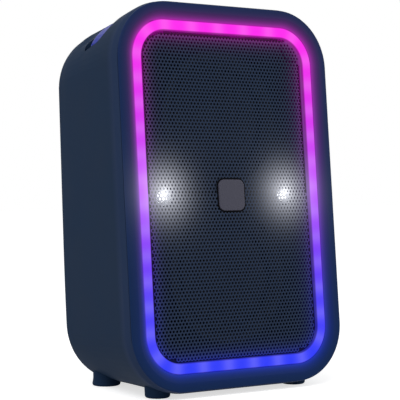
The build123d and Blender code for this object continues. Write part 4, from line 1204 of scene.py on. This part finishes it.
class SPEAKER_OT_inner_finish(bpy.types.Operator):
    """Give the woofers, lamps, boards, battery and fixings their finishes"""

    bl_idname = "speaker.inner_finish"
    bl_label = "Inner finishes"

    def execute(self, context):
        _, colours = prepared(context)
        for name, patterns in INNER_FINISHES.items():
            dress(finish(name, colours), *patterns)
        dress(finish_board(), "light_strip", "*_board")
        dress(finish_glowing("ring lamps", (1.0, 0.75, 1.0), 1.0), "leds")
        dress(finish_cloth(), "woofer_*_spider")
        dress(finish_paper(), "woofer_*_cone", "woofer_*_dust_cap")
        dress(finish_glowing("strobe lamps", (1.0, 1.0, 1.0), 1.6), "strobe_*_led")
        dress(finish_lens(), "strobe_*_lens")
        return {"FINISHED"}


# What the lamps are aimed at, in the middle of the speaker; half the floor's width; and the
# light that makes the floor's far end as white as the backdrop.
LAMP_TARGET = Vector((0, 0, 0.2))
FLOOR_HALF, FLOOR_LIGHT = 8.0, 0.66


class SPEAKER_OT_stage(bpy.types.Operator):
    """Set the pale floor, the soft lamps and the camera"""

    bl_idname = "speaker.stage"
    bl_label = "Stage"

    def execute(self, context):
        scene, stage = context.scene, context.scene.speaker_stage
        scene.view_settings.view_transform = "Standard"
        self.set_world(scene, stage)
        self.set_floor(scene)
        lamps = [("key lamp", (-1.4, -1.6, 2.3), 1.6, stage.key_power),
                 ("fill lamp", (1.9, -1.5, 1.1), 1.4, stage.fill_power),
                 ("side lamp", (-1.0, -0.2, 1.1), 0.6, stage.side_power)]
        for name, place, size, energy in lamps:
            light = bpy.data.lights.new(name, "AREA")
            light.size, light.energy = size, energy
            lamp = self.placed(scene, name, light)
            lamp.location = place
            towards = LAMP_TARGET - Vector(place)
            lamp.rotation_euler = towards.to_track_quat("-Z", "Y").to_euler()
        self.set_camera(scene, stage)
        return {"FINISHED"}

    def placed(self, scene, name, data):
        """A new object in the scene."""
        made = bpy.data.objects.new(name, data)
        scene.collection.objects.link(made)
        return made

    def white_rays(self, tree):
        """1 for the rays that see the backdrop as white: from the camera, gloss and glass."""
        path = put(tree, "LightPath").outputs
        seen = maths(tree, "MAXIMUM", path["Is Camera Ray"], path["Is Glossy Ray"])
        return maths(tree, "MAXIMUM", seen, path["Is Transmission Ray"])

    def set_world(self, scene, stage):
        """An even light from all round, that is seen as white."""
        world = bpy.data.worlds.new("studio")
        world.use_nodes = True
        tree = world.node_tree
        background = tree.nodes["Background"]
        strength = remap(tree, self.white_rays(tree), 0.0, 1.0, stage.ambient, 1.0)
        wire(tree, background.inputs["Color"], (1, 1, 1, 1))
        wire(tree, background.inputs["Strength"], strength)
        scene.world = world

    def set_floor(self, scene):
        """A wide pale floor that fades into the white backdrop."""
        ground = bmesh.new()
        bmesh.ops.create_grid(ground, x_segments=1, y_segments=1, size=FLOOR_HALF)
        data = bpy.data.meshes.new("floor")
        ground.to_mesh(data)
        ground.free()
        floor = self.placed(scene, "floor", data)
        made, tree, shader = new_finish("pale floor", Roughness=0.9, Specular_IOR_Level=0.0)
        surface(tree, shader, noise(tree, object_place(tree), 3.0),
                (0.79, 0.79, 0.8), (0.82, 0.82, 0.82))
        light = maths(tree, "MULTIPLY", self.white_rays(tree), FLOOR_LIGHT)
        lit(tree, shader, grey(tree, light))
        data.materials.append(made)

    def set_camera(self, scene, stage):
        """The camera, turned by its heading, pitch and roll."""
        lens = bpy.data.cameras.new("camera")
        lens.lens, lens.sensor_width = stage.camera_lens, 36.0
        lens.clip_start, lens.clip_end = 0.05, 50.0
        camera = self.placed(scene, "camera", lens)
        heading, pitch = stage.camera_heading, stage.camera_pitch
        towards = Vector((math.sin(heading) * math.cos(pitch), math.cos(heading) * math.cos(pitch),
                          math.sin(pitch)))
        right = towards.cross(Vector((0, 0, 1))).normalized()
        right = Matrix.Rotation(-stage.camera_roll, 3, towards) @ right
        turn = Matrix((right, right.cross(towards), -towards)).transposed().to_4x4()
        camera.matrix_world = Matrix.Translation(stage.camera_place) @ turn
        scene.camera = camera


class SPEAKER_PT_panel(bpy.types.Panel):
    """Lists the speaker's pieces, finishes and stage"""

    bl_idname = "SPEAKER_PT_panel"
    bl_label = "Party Speaker"
    bl_space_type = "VIEW_3D"
    bl_region_type = "UI"
    bl_category = "Speaker"

    def draw(self, context):
        for operator in OPERATORS:
            self.layout.operator(operator.bl_idname)
        for group in GROUPS:
            box = self.layout.box()
            values = getattr(context.scene, group)
            for name in values.bl_rna.properties.keys():
                if name not in ("rna_type", "name"):
                    box.prop(values, name)


GROUPS = {"speaker_sizes": SpeakerSizes, "speaker_colours": SpeakerColours,
          "speaker_stage": SpeakerStage}
OPERATORS = (SPEAKER_OT_grille, SPEAKER_OT_light_ring, SPEAKER_OT_badge_gap_shade,
             SPEAKER_OT_cabinet_finish, SPEAKER_OT_cabinet_form, SPEAKER_OT_signs,
             SPEAKER_OT_inner_finish, SPEAKER_OT_stage)
CLASSES = (*GROUPS.values(), *OPERATORS, SPEAKER_PT_panel)


def register():
    """Registers the classes and puts the settings on the scene."""
    for item in CLASSES:
        bpy.utils.register_class(item)
    for name, group in GROUPS.items():
        setattr(bpy.types.Scene, name, PointerProperty(type=group))


def unregister():
    """Takes the settings off the scene and unregisters the classes."""
    for name in GROUPS:
        delattr(bpy.types.Scene, name)
    for item in reversed(CLASSES):
        bpy.utils.unregister_class(item)


def main():
    """Builds everything."""
    register()
    for operator in OPERATORS:
        call = getattr(bpy.ops.speaker, operator.bl_idname.split(".")[1])
        call()


if __name__ == "__main__":
    main()
